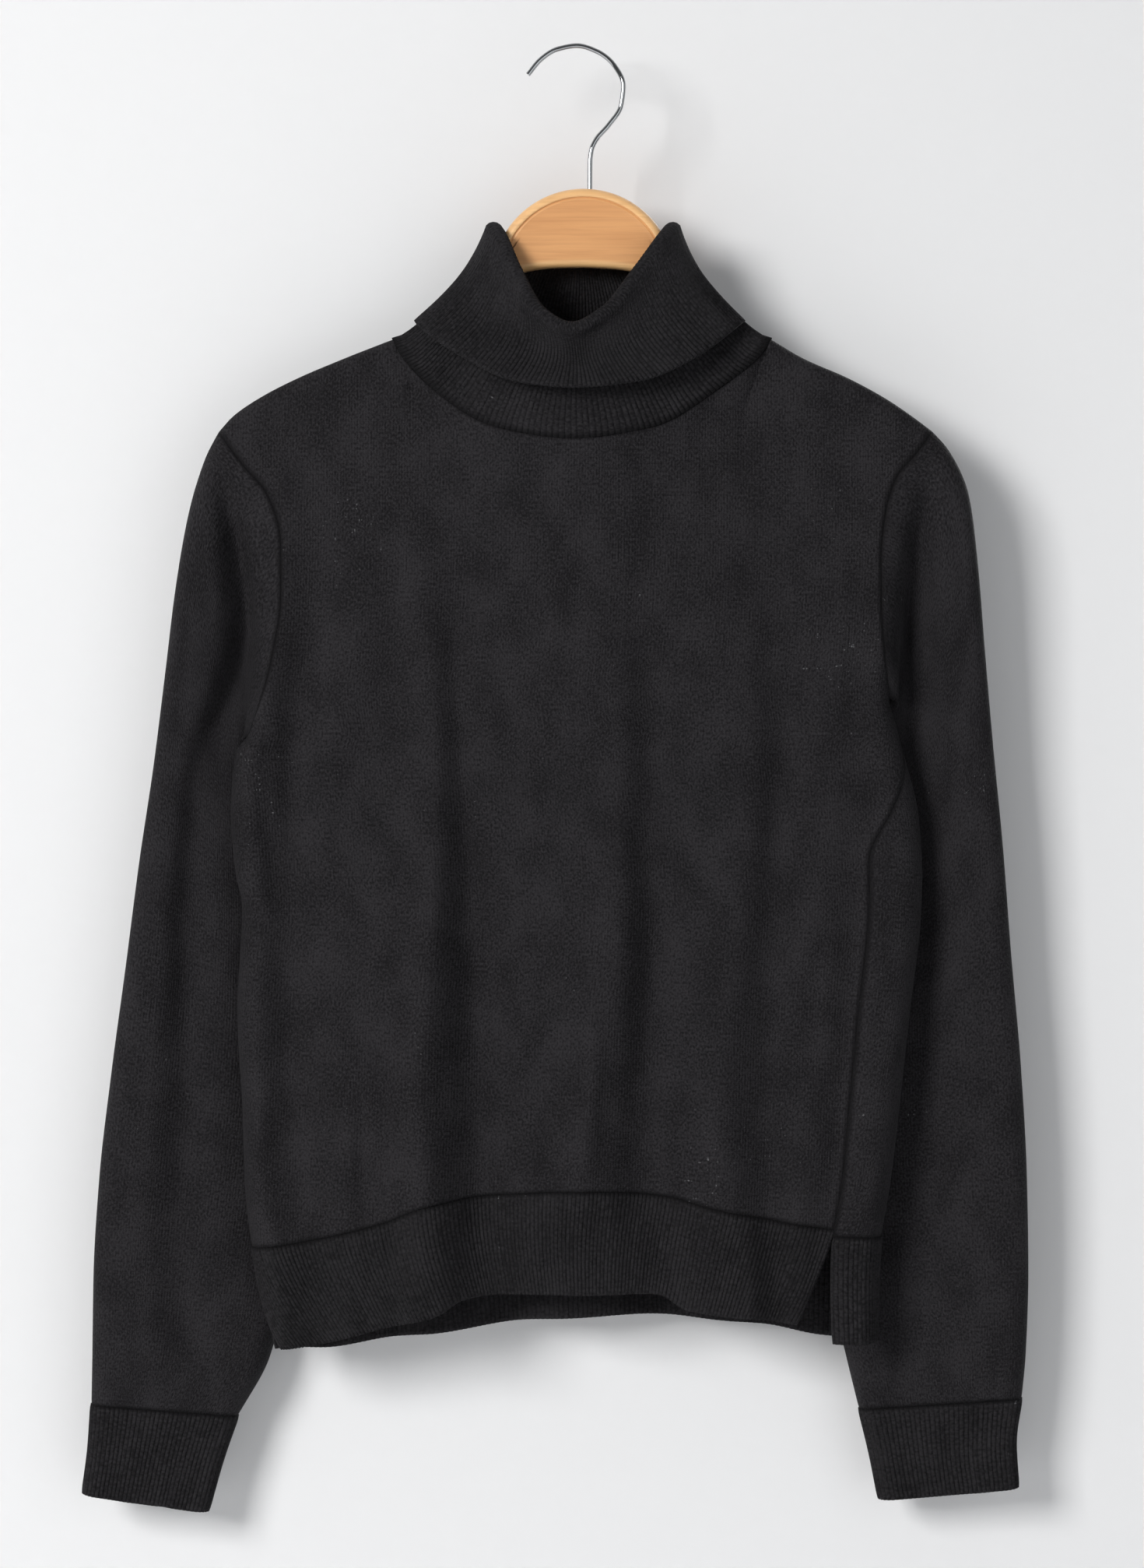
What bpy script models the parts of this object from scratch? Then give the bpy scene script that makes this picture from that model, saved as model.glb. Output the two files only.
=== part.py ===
"""A fine-knit turtleneck sweater on a contoured wooden hanger with a wire hook.

The sweater is cut and sewn from a front, a back, two sleeves, a ribbed collar folded over on itself,
two ribbed hem bands with a slit between them at each side, and two ribbed cuffs. The hanger is a
routed board and a bent wire. The frame is in millimetres here and metres in the scene: X to the
right seen from the front, Z up, the front towards -Y. The origin is the top of the inside of the
hook, where it rests on a rail. "Left" is the side at -X.
"""

import math

import bmesh
import bpy
import numpy as np

MM = 0.001
JERSEY_WALL = 1.4  # plain knit
RIB_WALL = 2.0  # ribbed knit of the collar, bands and cuffs
# Pieces that are sewn edge to edge are 0.3 mm apart where their walls come nearest. Where they meet
# at an angle the middles of the walls are further apart than that.
SEAM_GAP = {
    "shoulder": 1.1,
    "armhole": 2.4,
    "armpit": 4.4,
    "neckline": 4.0,
    "side": 1.6,
    "band": 0.5,
    "cuff": 0.5,
}
WIRE_RADIUS = 1.4
HOOK_LENGTH_IN_WOOD = 16.0
NECK_MIDDLE = (2.0, 0.0, -130.0)
BOARD_CENTRE = (3.5, -131.6)  # x, z of the centre of the board's round top
BOARD_TOP_RADIUS = 52.0
BOARD_TILT = math.radians(1.0)  # it hangs this much out of level, left arm up
SIDE_ROUNDING = 14.0  # how far in from a side edge the body's ring starts to bend
SHOULDER_ROUNDING = 7.0  # how far below the shoulder line the cloth has bent over the hanger


def table(columns, *rows):
    """A table of numbers, read by column name."""
    return dict(zip(columns.split(), np.array(rows, float).T))


def smooth(at, xs, ys):
    """A curve through the points of two columns that never overshoots them."""
    order = np.argsort(xs)
    xs, ys = np.asarray(xs, float)[order], np.asarray(ys, float)[order]
    step, rise = np.diff(xs), np.diff(ys)
    slope = rise / step
    tangent = np.zeros_like(xs)
    same = slope[:-1] * slope[1:] > 0
    ahead, behind = 2 * step[1:] + step[:-1], step[1:] + 2 * step[:-1]
    with np.errstate(divide="ignore", invalid="ignore"):
        mean = (ahead + behind) / (ahead / slope[:-1] + behind / slope[1:])
    tangent[1:-1] = np.where(same, mean, 0.0)
    tangent[0], tangent[-1] = slope[0], slope[-1]
    at = np.clip(at, xs[0], xs[-1])
    i = np.clip(np.searchsorted(xs, at) - 1, 0, len(step) - 1)
    t = (at - xs[i]) / step[i]
    return (
        ys[i] * (1 + 2 * t) * (1 - t) ** 2
        + ys[i + 1] * t * t * (3 - 2 * t)
        + step[i] * t * (1 - t) * ((1 - t) * tangent[i] - t * tangent[i + 1])
    )


def column(of, name, z):
    return smooth(z, of["z"], of[name])


# Body: the flattened ring of the front and back together, by height. It is hung from the hanger, so
# above the armpits (z -388 left, -366 right) the side edges are only where the ring would close.
BODY = table(
    "z       left    right  front  back",
    (-150, -214.0, 214.0, 8.4, 8.4),
    (-217, -213.0, 213.0, 9.5, 9.0),
    (-260, -205.0, 205.0, 12.0, 10.0),
    (-311, -192.0, 190.0, 14.5, 11.0),
    (-345, -187.0, 181.0, 16.0, 11.5),
    (-365, -185.5, 175.5, 16.5, 11.5),
    (-386, -185.0, 180.5, 17.0, 12.0),
    (-399, -193.0, 184.0, 17.0, 12.0),
    (-435, -195.4, 192.5, 18.0, 13.0),
    (-465, -193.0, 194.5, 18.5, 13.5),
    (-485, -189.2, 194.0, 19.0, 14.0),
    (-545, -191.8, 187.4, 20.0, 15.0),
    (-597, -189.0, 181.7, 21.0, 16.0),
    (-641, -187.5, 176.4, 22.0, 17.0),
    (-677, -183.5, 170.7, 22.0, 17.0),
    (-699, -179.5, 169.4, 22.0, 17.0),
    (-740, -171.0, 168.5, 22.0, 17.0),
)

# Shoulder line, from the side of the neck to the shoulder point. Front and back meet on it.
SHOULDER = table(
    "z       left    right",
    (-165.3, -104.5, 109.5),
    (-175.7, -131.0, 127.0),
    (-186.7, -157.0, 152.0),
    (-197.7, -178.5, 172.5),
    (-208.7, -194.5, 189.0),
    (-217.0, -202.0, 200.0),
)

# Armhole seams, from the shoulder point to the armpit, the same at the front and the back.
ARMHOLE_LEFT = table(
    "x       z",
    (-202.0, -217.0),
    (-194.5, -228.0),
    (-185.7, -239.0),
    (-174.7, -252.0),
    (-166.5, -280.0),
    (-166.5, -310.0),
    (-171.5, -345.0),
    (-178.5, -372.0),
    (-184.9, -388.0),
)
ARMHOLE_RIGHT = table(
    "x       z",
    (200.0, -217.0),
    (190.0, -231.0),
    (180.4, -242.0),
    (173.5, -262.0),
    (170.5, -290.0),
    (170.8, -320.0),
    (173.3, -348.0),
    (175.6, -366.0),
)

# Side seams, as how far in from the side edge they run along the front (below 0: round the back).
# The back wraps forward at the right, so that its seam shows.
SIDE_SEAM = table(
    "z      left   right",
    (-365, 0.0, 0.0),
    (-392, 0.0, 2.0),
    (-410, -8.0, 10.0),
    (-430, -8.0, 24.0),
    (-460, -8.0, 40.0),
    (-740, -8.0, 41.0),
)

# Where the hem bands start and end, by x: on the front seen from the front, on the back behind it.
BAND_TOP_FRONT = table(
    "x     z",
    (-215, -679.0),
    (-168, -675.0),
    (-107, -661.0),
    (-86, -652.0),
    (-45, -646.5),
    (0, -643.5),
    (52, -647.5),
    (72, -652.5),
    (141, -665.5),
    (190, -670.0),
)
HEM_FRONT = table(
    "x     z",
    (-215, -736.0),
    (-161, -732.0),
    (-107, -719.0),
    (-80, -712.0),
    (-66, -705.0),
    (-18, -701.0),
    (44, -702.0),
    (60, -710.5),
    (98, -715.0),
    (120, -718.5),
    (190, -721.0),
)
BAND_TOP_BACK = table(
    "x     z",
    (-215, -679.0),
    (-120, -676.0),
    (0, -665.0),
    (110, -668.0),
    (190, -671.5),
)
HEM_BACK = table(
    "x     z",
    (-215, -736.0),
    (-160, -736.0),
    (-90, -728.5),
    (0, -719.0),
    (48, -718.0),
    (100, -723.0),
    (140, -729.0),
    (190, -731.0),
)
# The slits: how much the ends of a band draw back at the hem from the side seam above it.
SLIT = {"front_left": 24.0, "front_right": 18.0, "back_left": -2.0, "back_right": 3.0}

# Folds: each row is the line of one ridge or valley, from the chest down to the hem. x0 to x4 are
# where it is at the heights in FOLD_LEVELS, and h0 to h4 how far it stands out there.
FOLD_LEVELS = (-290, -400, -500, -600, -690)
FOLD_COLUMNS = "x0 x1 x2 x3 x4 h0 h1 h2 h3 h4"
FRONT_FOLDS = table(
    FOLD_COLUMNS,
    (-166, -182, -181, -181, -172, 2.0, 7.0, 3.0, 5.0, 3.0),
    (-138, -160, -162, -160, -150, -2.0, -6.0, -6.0, -4.0, -1.0),
    (-118, -132, -140, -128, -120, 1.0, 2.0, -3.0, 3.0, 4.0),
    (-105, -110, -124, -112, -108, 0.0, -2.0, -2.0, 3.0, 5.0),
    (-86, -80, -83, -88, -84, 1.5, 6.0, 12.0, 16.0, 14.0),
    (-70, -64, -58, -54, -52, 0.0, -3.0, -8.0, -9.0, -10.0),
    (-45, -38, -30, -22, -20, 0.5, 0.0, -2.0, 1.0, 3.0),
    (8, 22, 22, 6, 2, 1.0, 5.0, 9.0, 12.0, 8.0),
    (38, 43, 44, 40, 42, 0.0, -3.0, -5.0, -6.0, -6.0),
    (90, 97, 89, 80, 92, 1.0, 5.0, 7.0, 9.0, 9.0),
    (108, 113, 110, 106, 112, 0.0, -1.0, -2.0, -3.0, -2.0),
    (148, 143, 136, 130, 122, 1.0, 2.0, 2.0, 1.0, 3.0),
    (158, 160, 154, 148, 134, 0.5, 0.0, -1.5, -2.0, -1.0),
    (168, 178, 168, 160, 150, 1.0, 2.0, 4.0, 4.0, 4.0),
)
BACK_FOLDS = table(
    FOLD_COLUMNS,
    (-160, -168, -168, -166, -158, 0.0, 1.0, 2.0, 3.0, 3.0),
    (-132, -140, -146, -142, -140, 0.0, -2.0, -3.0, -3.0, -3.0),
    (-92, -96, -104, -112, -110, 1.0, 4.0, 6.0, 8.0, 8.0),
    (-64, -66, -72, -78, -80, 0.0, -2.0, -4.0, -6.0, -5.0),
    (-20, -24, -30, -34, -38, 0.5, 3.0, 6.0, 9.0, 9.0),
    (10, 8, 2, -2, -4, 0.0, -2.0, -4.0, -5.0, -6.0),
    (52, 54, 50, 44, 42, 0.5, 3.0, 5.0, 7.0, 7.0),
    (82, 86, 84, 80, 78, 0.0, -2.0, -4.0, -5.0, -5.0),
    (124, 128, 122, 116, 112, 0.5, 3.0, 5.0, 6.0, 7.0),
    (156, 158, 152, 144, 138, 0.0, 0.0, -1.0, -1.0, -1.0),
)

# Sleeves: sections from the armhole to the cuff. Each runs from the outer edge to the inner edge,
# and it hangs a little behind the body. "follow" is how much it still follows the armhole's shape.
SLEEVE_COLUMNS = "outer_x outer_y outer_z inner_x inner_y inner_z half follow"
SLEEVE_LEFT = table(
    SLEEVE_COLUMNS,
    (-209.5, 0.0, -231.5, -190.5, 11.0, -390.5, 11.5, 0.62),
    (-219.0, 1.0, -262.0, -186.0, 23.0, -399, 12.0, 0.30),
    (-226.8, 3.0, -305.0, -178.0, 28.0, -413, 12.0, 0.10),
    (-232.8, 6.0, -352.0, -170.0, 31.0, -436, 11.5, 0.0),
    (-239.8, 9.0, -405.0, -165.0, 32.0, -470, 11.0, 0.0),
    (-248.2, 11.0, -460.0, -157.0, 33.0, -508, 11.0, 0.0),
    (-256.2, 13.0, -520.0, -152.0, 34.0, -552, 11.0, 0.0),
    (-264.4, 14.0, -580.0, -152.0, 34.0, -600, 11.0, 0.0),
    (-271.4, 15.0, -640.0, -157.0, 33.0, -648, 11.0, 0.0),
    (-274.8, 16.0, -695.0, -166.0, 31.0, -698, 11.0, 0.0),
    (-275.6, 17.0, -742.0, -177.0, 28.0, -744, 10.5, 0.0),
    (-276.2, 18.0, -768.5, -194.5, 25.0, -776, 9.5, 0.0),
)
SLEEVE_RIGHT = table(
    SLEEVE_COLUMNS,
    (209.5, 0.0, -228.0, 182.0, 12.0, -371.0, 11.5, 0.62),
    (220.5, 1.0, -252.0, 175.0, 23.5, -379, 12.0, 0.30),
    (226.0, 3.0, -292.0, 171.5, 28.0, -394, 12.0, 0.10),
    (230.0, 6.0, -338.0, 166.0, 31.0, -420, 11.5, 0.0),
    (235.0, 9.0, -392.0, 163.0, 32.0, -456, 11.0, 0.0),
    (241.0, 11.0, -452.0, 151.0, 33.0, -500, 11.0, 0.0),
    (246.0, 13.0, -514.0, 142.0, 34.0, -548, 11.0, 0.0),
    (251.5, 14.0, -576.0, 138.0, 34.0, -597, 11.0, 0.0),
    (255.0, 15.0, -638.0, 138.0, 33.0, -646, 11.0, 0.0),
    (256.0, 16.0, -694.0, 144.0, 31.0, -697, 11.0, 0.0),
    (254.6, 17.0, -740.0, 154.5, 28.0, -743, 10.5, 0.0),
    (252.4, 18.0, -765.0, 161.5, 25.0, -772, 9.5, 0.0),
)
CUFF_LEFT = table(
    SLEEVE_COLUMNS,
    (-276.2, 18.0, -768.5, -194.5, 25.0, -776, 9.5, 0.0),
    (-277.8, 18.0, -793.0, -203.5, 24.0, -802, 9.0, 0.0),
    (-281.2, 18.0, -819.5, -211.5, 23.0, -830.5, 9.0, 0.0),
)
CUFF_RIGHT = table(
    SLEEVE_COLUMNS,
    (252.4, 18.0, -765.0, 161.5, 25.0, -772, 9.5, 0.0),
    (248.9, 18.0, -791.0, 167.8, 24.0, -798, 9.0, 0.0),
    (250.4, 18.0, -816.0, 172.8, 23.0, -823.5, 9.0, 0.0),
)
# The sleeves' folds are lines of the same kind, at these heights.
SLEEVE_LEVELS = (-262, -330, -420, -560, -700)
SLEEVE_LEFT_FOLDS = table(
    FOLD_COLUMNS,
    (-224, -233, -246, -266, -277, 0.0, 0.0, 0.0, 0.0, 0.0),
    (-207, -206, -228, -240, -245, 1.0, 2.0, 3.0, 3.0, 3.0),
    (-197, -188, -216, -222, -225, -9.0, -13.0, -2.0, -2.0, -2.0),
    (-180, -174, -196, -200, -205, 0.0, 0.0, 1.0, 1.0, 1.0),
)
SLEEVE_RIGHT_FOLDS = table(
    FOLD_COLUMNS,
    (182, 176, 180, 178, 175, 0.0, 0.0, -4.0, -4.0, -2.0),
    (196, 188, 194, 196, 196, -7.0, -13.0, -5.0, -5.0, -3.0),
    (207, 212, 217, 222, 225, 1.0, 2.0, 3.0, 3.0, 3.0),
    (222, 231, 240, 250, 257, 0.0, 0.0, 0.0, 0.0, 0.0),
)

# Collar: sections round the neck, from the middle of the front (0 degrees) by the sides (90) to the
# middle of the back (180). Each goes up from the neckline seam, over the rim and down to the loose
# hem. The x of the right and of the left half differ, since it sits a little askew.
COLLAR = table(
    "angle seam_xr seam_xl seam_y seam_z rim_xr rim_xl rim_y rim_z hem_xr hem_xl hem_y hem_z "
    "stand_bow fall_bow roll",
    (0, -3, -3, -25, -222, -3, -3, -38, -155, -1, -1, -47, -196.3, 2, -6, 4),
    (30, 41, -45, -23, -216, 14.5, -19.5, -35, -147, 33, -34, -44, -192.7, 1, -6, 4),
    (60, 80, -82, -16.5, -193.5, 33, -33, -25, -126, 68, -66, -34, -177, -2, -3, 3.5),
    (80, 103, -99, -11.5, -174.5, 47, -41.5, -13, -105.5, 88, -87, -18, -161, -4, 0, 3),
    (90, 109.5, -104.5, 0, -165.3, 52, -45.5, 0, -99.5, 94, -91.5, 0, -155, -4.6, 0, 3),
    (100, 103, -99, 11.5, -170, 48, -42, 12, -102, 88, -87, 17, -160, -4, 0, 3),
    (120, 80, -80, 15, -171, 36, -33, 17, -105, 72, -70, 27, -168, -1, 0, 3),
    (150, 42, -42, 19, -173, 19, -17, 20, -107, 40, -38, 32, -173, 0, 0, 3),
    (180, -1, -1, 20, -174, 1, 1, 21, -108, 0, 0, 34, -175, 0, 0, 3),
)

# Board: half of its outline, as the distance out from the middle and the height. The top starts as
# the round head, and flows out into the arm.
BOARD_TOP = table(
    "out    z",
    (52.0, -117.0),
    (60.0, -130.5),
    (70.0, -145.5),
    (84.0, -160.6),
    (106.0, -171.4),
    (123.5, -177.2),
    (148.5, -187.5),
    (169.0, -198.1),
    (180.0, -205.7),
)
BOARD_BOTTOM = table(
    "out    z",
    (180.0, -224.5),
    (169.0, -223.5),
    (148.5, -214.5),
    (106.0, -196.0),
    (80.0, -178.0),
    (60.0, -155.0),
    (46.0, -136.5),
    (33.0, -127.2),
    (16.0, -124.6),
    (0.0, -124.0),
)
# Its edge is rounded, and the front has a raised rim round a face cut back with a router.
BOARD_PROFILE = table(
    "inset  y",
    (7.4, 6.0),
    (4.5, 6.0),
    (1.3, 4.7),
    (0.0, 1.5),
    (0.0, -1.5),
    (1.3, -4.7),
    (4.0, -6.0),
    (5.4, -6.0),
    (5.9, -5.2),
    (7.4, -5.2),
)

# Hook: the line of the wire, from its cut tip over the top and down to the board.
HOOK = table(
    "x      z",
    (-28.0, -15.0),
    (-20.8, -6.4),
    (-11.5, -0.6),
    (-0.2, 1.4),
    (11.3, -2.0),
    (20.8, -9.8),
    (25.9, -21.0),
    (24.6, -32.5),
    (17.5, -43.6),
    (10.6, -51.6),
    (8.0, -57.2),
    (7.1, -64.0),
    (7.0, -72.0),
)

# The grid: places along the armhole seam, closer together where the cloth bends over the hanger.
ARMHOLE_STEPS = (0.0, 0.006, 0.02, 0.045, 0.09, 0.17, 0.29, 0.43, 0.57, 0.71, 0.83, 0.93, 1.0)
SIDE_ROWS = 8
SHOULDER_COLUMNS = 5
BOARD_COLUMNS = 18  # points along the top edge of each half of the board, and along its bottom edge
COLLAR_ANGLES = (0, 16, 32, 48, 62, 74, 83, 90)


def fold_height(folds, levels, x, z):
    """How far the cloth stands out at x, z: it eases from each fold's line to the next one's."""
    z = np.clip(z, levels[-1], levels[0] + 60)
    lines_x = [smooth(z, levels, [folds[f"x{i}"][k] for i in range(5)]) for k in range(len(folds["x0"]))]
    lines_h = [smooth(z, levels, [folds[f"h{i}"][k] for i in range(5)]) for k in range(len(folds["h0"]))]
    height = np.where(x < lines_x[0], lines_h[0], lines_h[-1])
    for x0, x1, h0, h1 in zip(lines_x, lines_x[1:], lines_h, lines_h[1:]):
        t = np.clip((x - x0) / np.maximum(x1 - x0, 1e-6), 0, 1)
        height = np.where((x >= x0) & (x < x1), h0 + (h1 - h0) * t * t * (3 - 2 * t), height)
    return height * np.clip((levels[0] + 60 - z) / 60, 0, 1)


def ring_sizes(z):
    """Middle, half width of the flat part, and length of a quarter of the bend at the side."""
    left, right = column(BODY, "left", z), column(BODY, "right", z)
    depth = (column(BODY, "front", z) + column(BODY, "back", z)) / 2
    bend = math.pi / 2 * np.sqrt((SIDE_ROUNDING**2 + depth**2) / 2)
    return (left + right) / 2, (right - left) / 2 - SIDE_ROUNDING, bend


def body_point(p, z):
    """The point of the body's ring at height z, p round it from the middle of the front."""
    middle, flat, bend = ring_sizes(z)
    side, out = np.sign(p), np.abs(p)
    turn = np.clip((out - flat) / bend, 0, 2) * math.pi / 2
    beyond = np.maximum(out - flat - 2 * bend, 0)
    x = middle + side * (np.minimum(out, flat) + SIDE_ROUNDING * np.sin(turn) - beyond)
    lens = 0.3 * np.clip((-230 - z) / 120, 0, 1)
    across = 1 - lens * ((x - middle) / (flat + SIDE_ROUNDING)) ** 2
    front = column(BODY, "front", z) * across + fold_height(FRONT_FOLDS, FOLD_LEVELS, x, z)
    back = column(BODY, "back", z) * across + fold_height(BACK_FOLDS, FOLD_LEVELS, x, z)
    facing = np.cos(turn)
    hang_back = 3.0 * np.clip((-217 - z) / 200, 0, 1)
    y = hang_back * (1 - facing**2) - facing * np.where(facing > 0, front, back)
    return np.stack([x, y, z + 0 * x], -1)


def place_on_ring(x, z):
    """How far round the ring from the middle of the front the front's point at x, z is."""
    middle, flat, bend = ring_sizes(z)
    past = np.clip((np.abs(x - middle) - flat) / SIDE_ROUNDING, 0, 1)
    out = np.minimum(np.abs(x - middle), flat) + bend * np.arcsin(past) / (math.pi / 2)
    return np.sign(x - middle) * out


def along(points, fractions):
    """Points at these fractions of the length of a line."""
    steps = np.linalg.norm(np.diff(points, axis=0), axis=1)
    length = np.concatenate([[0], np.cumsum(steps)])
    return np.stack([smooth(np.asarray(fractions) * length[-1], length, c) for c in points.T], -1)


def collar_seam(angles):
    """x, y, z of the neckline seam at angles from -180 (left) to 180 (right)."""
    half = np.abs(angles)
    x = np.where(
        angles < 0,
        smooth(half, COLLAR["angle"], COLLAR["seam_xl"]),
        smooth(half, COLLAR["angle"], COLLAR["seam_xr"]),
    )
    return np.stack([x] + [smooth(half, COLLAR["angle"], COLLAR["seam_" + c]) for c in "yz"], -1)


def top_edge(is_front):
    """Shoulder line, neckline, shoulder line: the top of the front or the back, left to right."""
    share = np.arange(1, SHOULDER_COLUMNS) / SHOULDER_COLUMNS
    ends = []
    for side in ("left", "right"):
        line = np.stack([SHOULDER[side], 0 * SHOULDER["z"], SHOULDER["z"]], -1)
        ends.append(np.vstack([line[:1], along(line, share), line[-1:]]))
    half = np.array(COLLAR_ANGLES, float) if is_front else 180 - np.array(COLLAR_ANGLES, float)
    neck = collar_seam(np.concatenate([-half[::-1], half[1:]]))
    away = (neck - NECK_MIDDLE) * [1, 0, 1]
    neck += away * (SEAM_GAP["neckline"] / 2 / np.linalg.norm(away, axis=1))[:, None]
    return np.vstack([ends[0][::-1][:-1], neck, ends[1][1:]])


def side_edge(side, is_front):
    """Down the armhole and the side seam: place round the ring and height, for each row."""
    armhole = ARMHOLE_LEFT if side < 0 else ARMHOLE_RIGHT
    line = np.stack([armhole["x"], armhole["z"]], -1)
    upper = along(line, ARMHOLE_STEPS)
    bottom_x = -181.0 if side < 0 else 141.0
    band_top = BAND_TOP_FRONT if is_front else BAND_TOP_BACK
    bottom_z = float(smooth(bottom_x, band_top["x"], band_top["z"]))
    z = upper[-1, 1] + (bottom_z - upper[-1, 1]) * np.arange(1, SIDE_ROWS + 1) / SIDE_ROWS
    p_upper = place_on_ring(upper[:, 0], upper[:, 1])
    middle, flat, bend = ring_sizes(z)
    inset = smooth(z, SIDE_SEAM["z"], SIDE_SEAM["left" if side < 0 else "right"])
    p_lower = side * (flat + bend + (-inset if is_front else inset))
    return np.concatenate([p_upper, p_lower]), np.concatenate([upper[:, 1], z])


def ring_point(p, z, is_front):
    """As body_point, but for the back p is from the middle of the back."""
    if is_front:
        return body_point(p, z)
    flat, bend = ring_sizes(z)[1:]
    return body_point(np.where(p < 0, -1, 1) * (2 * (flat + bend) - np.abs(p)), z)


def panel_grid(is_front):
    """Front or back: rows from the top edge to the band, columns from left to right."""
    sign = -1 if is_front else 1
    top = top_edge(is_front)
    left_p, left_z = side_edge(-1, is_front)
    right_p, right_z = side_edge(1, is_front)
    top_p = place_on_ring(top[:, 0], top[:, 2])
    u = ((top_p - top_p[0]) / (top_p[-1] - top_p[0]))[None, :]
    armhole_share = 0.38
    lower = np.arange(1, SIDE_ROWS + 1) / SIDE_ROWS
    v = np.concatenate(
        [armhole_share * np.array(ARMHOLE_STEPS), armhole_share + (1 - armhole_share) * lower]
    )[:, None]
    bottom_p = left_p[-1] + (right_p[-1] - left_p[-1]) * u[0]
    band_top = BAND_TOP_FRONT if is_front else BAND_TOP_BACK
    bottom_x = ring_point(bottom_p, np.full_like(bottom_p, -665.0), is_front)[:, 0]
    bottom_z = smooth(bottom_x, band_top["x"], band_top["z"])
    left_z[-1], right_z[-1] = bottom_z[0], bottom_z[-1]

    def patch(top_line, bottom_line, left_line, right_line):
        corners = (
            (1 - u) * (1 - v) * top_line[0]
            + u * (1 - v) * top_line[-1]
            + (1 - u) * v * bottom_line[0]
            + u * v * bottom_line[-1]
        )
        return (
            (1 - v) * top_line[None, :]
            + v * bottom_line[None, :]
            + (1 - u) * left_line[:, None]
            + u * right_line[:, None]
            - corners
        )

    p = patch(top_p, bottom_p, left_p, right_p)
    z = patch(top[:, 2], bottom_z, left_z, right_z)
    points = ring_point(p, z, is_front)
    below = top[None, :, 2] - points[..., 2]
    edge = np.clip(below / SHOULDER_ROUNDING, 0, 1)
    over_hanger = 1 - np.sqrt(1 - (1 - edge) ** 2)
    under_collar = np.exp(-np.maximum(below, 0) / 45)
    missing = top[None, :, 1] - points[:1, :, 1]
    toward_middle = sign * missing < 0
    points[..., 1] += missing * np.where(toward_middle, over_hanger, under_collar)
    return points


def section_point(row, fraction, side):
    """A flattened section's point, this share of the way from its outer to its inner edge."""
    outer = np.array([row["outer_x"], row["outer_y"], row["outer_z"]])
    inner = np.array([row["inner_x"], row["inner_y"], row["inner_z"]])
    width, half = np.linalg.norm(inner - outer), row["half"]
    bend = math.pi / 2 * half
    length = width - 2 * half + 2 * bend
    run = np.minimum(fraction, 1 - fraction) * length
    turn = np.minimum(run / bend, 1) * math.pi / 2
    across = half * (1 - np.cos(turn)) + np.maximum(run - bend, 0)
    across = np.where(fraction <= 0.5, across, width - across)
    points = outer + (inner - outer) * (across / width)[:, None]
    points[:, 1] += side * half * np.sin(turn)
    return points


def tube_grid(sections, steps, armhole=None, folds=None):
    """Rows of points round a sleeve or cuff: down the front from the outer edge, up the back."""
    rows = [armhole] if armhole is not None else []
    for k in range(len(sections["half"])):
        row = {name: values[k] for name, values in sections.items()}
        front, back = section_point(row, steps, -1), section_point(row, steps, 1)
        ring = np.vstack([front, back[::-1][1:-1]])
        if armhole is not None and row["follow"] > 0:
            ends = {"half": 0.01}
            for name, point in (("outer", armhole[0]), ("inner", armhole[len(steps) - 1])):
                ends.update({f"{name}_{c}": value for c, value in zip("xyz", point)})
            chord = section_point(ends, steps, -1)
            flat_ring = np.vstack([chord, chord[::-1][1:-1]])
            ring[:, [0, 2]] += row["follow"] * (armhole - flat_ring)[:, [0, 2]]
        rows.append(ring)
    points = np.stack(rows)
    if folds is not None:
        first = 1 if armhole is not None else 0
        height = fold_height(folds, SLEEVE_LEVELS, points[first:, :, 0], points[first:, :, 2])
        count = len(steps)
        facing = np.zeros(points.shape[1])
        facing[:count] = np.minimum(1, 4 * np.minimum(steps, 1 - steps))
        fade = np.ones(len(points) - first)
        fade[-1:] = 0.0
        fade[-2:-1] = 0.5
        points[first:, :, 1] -= height * facing * fade[:, None]
    return points


def band_grid(is_front, top_row):
    """A hem band: it goes on from the panel's last row to the hem, drawn back at the slits."""
    name = "front" if is_front else "back"
    hem = HEM_FRONT if is_front else HEM_BACK
    left_p, left_z = side_edge(-1, is_front)
    right_p, right_z = side_edge(1, is_front)
    share = np.linspace(0, 1, top_row.shape[0])
    rows = [top_row]
    for down in (0.33, 0.67, 1.0):
        ends = []
        for side in (-1, 1):
            z = -672.0 - 58.0 * down
            middle, flat, bend = ring_sizes(np.array(z))
            seam = smooth(z, SIDE_SEAM["z"], SIDE_SEAM["left" if side < 0 else "right"])
            cut = SLIT[f"{name}_left" if side < 0 else f"{name}_right"] * down**1.3
            ends.append(float(side * (flat + bend + (-seam if is_front else seam) - cut)))
        p = ends[0] + (ends[1] - ends[0]) * share
        x = ring_point(p, np.full_like(p, -690.0), is_front)[:, 0]
        z = top_row[:, 2] + (smooth(x, hem["x"], hem["z"]) - top_row[:, 2]) * down
        rows.append(ring_point(p, z, is_front))
    return np.stack(rows)


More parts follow.
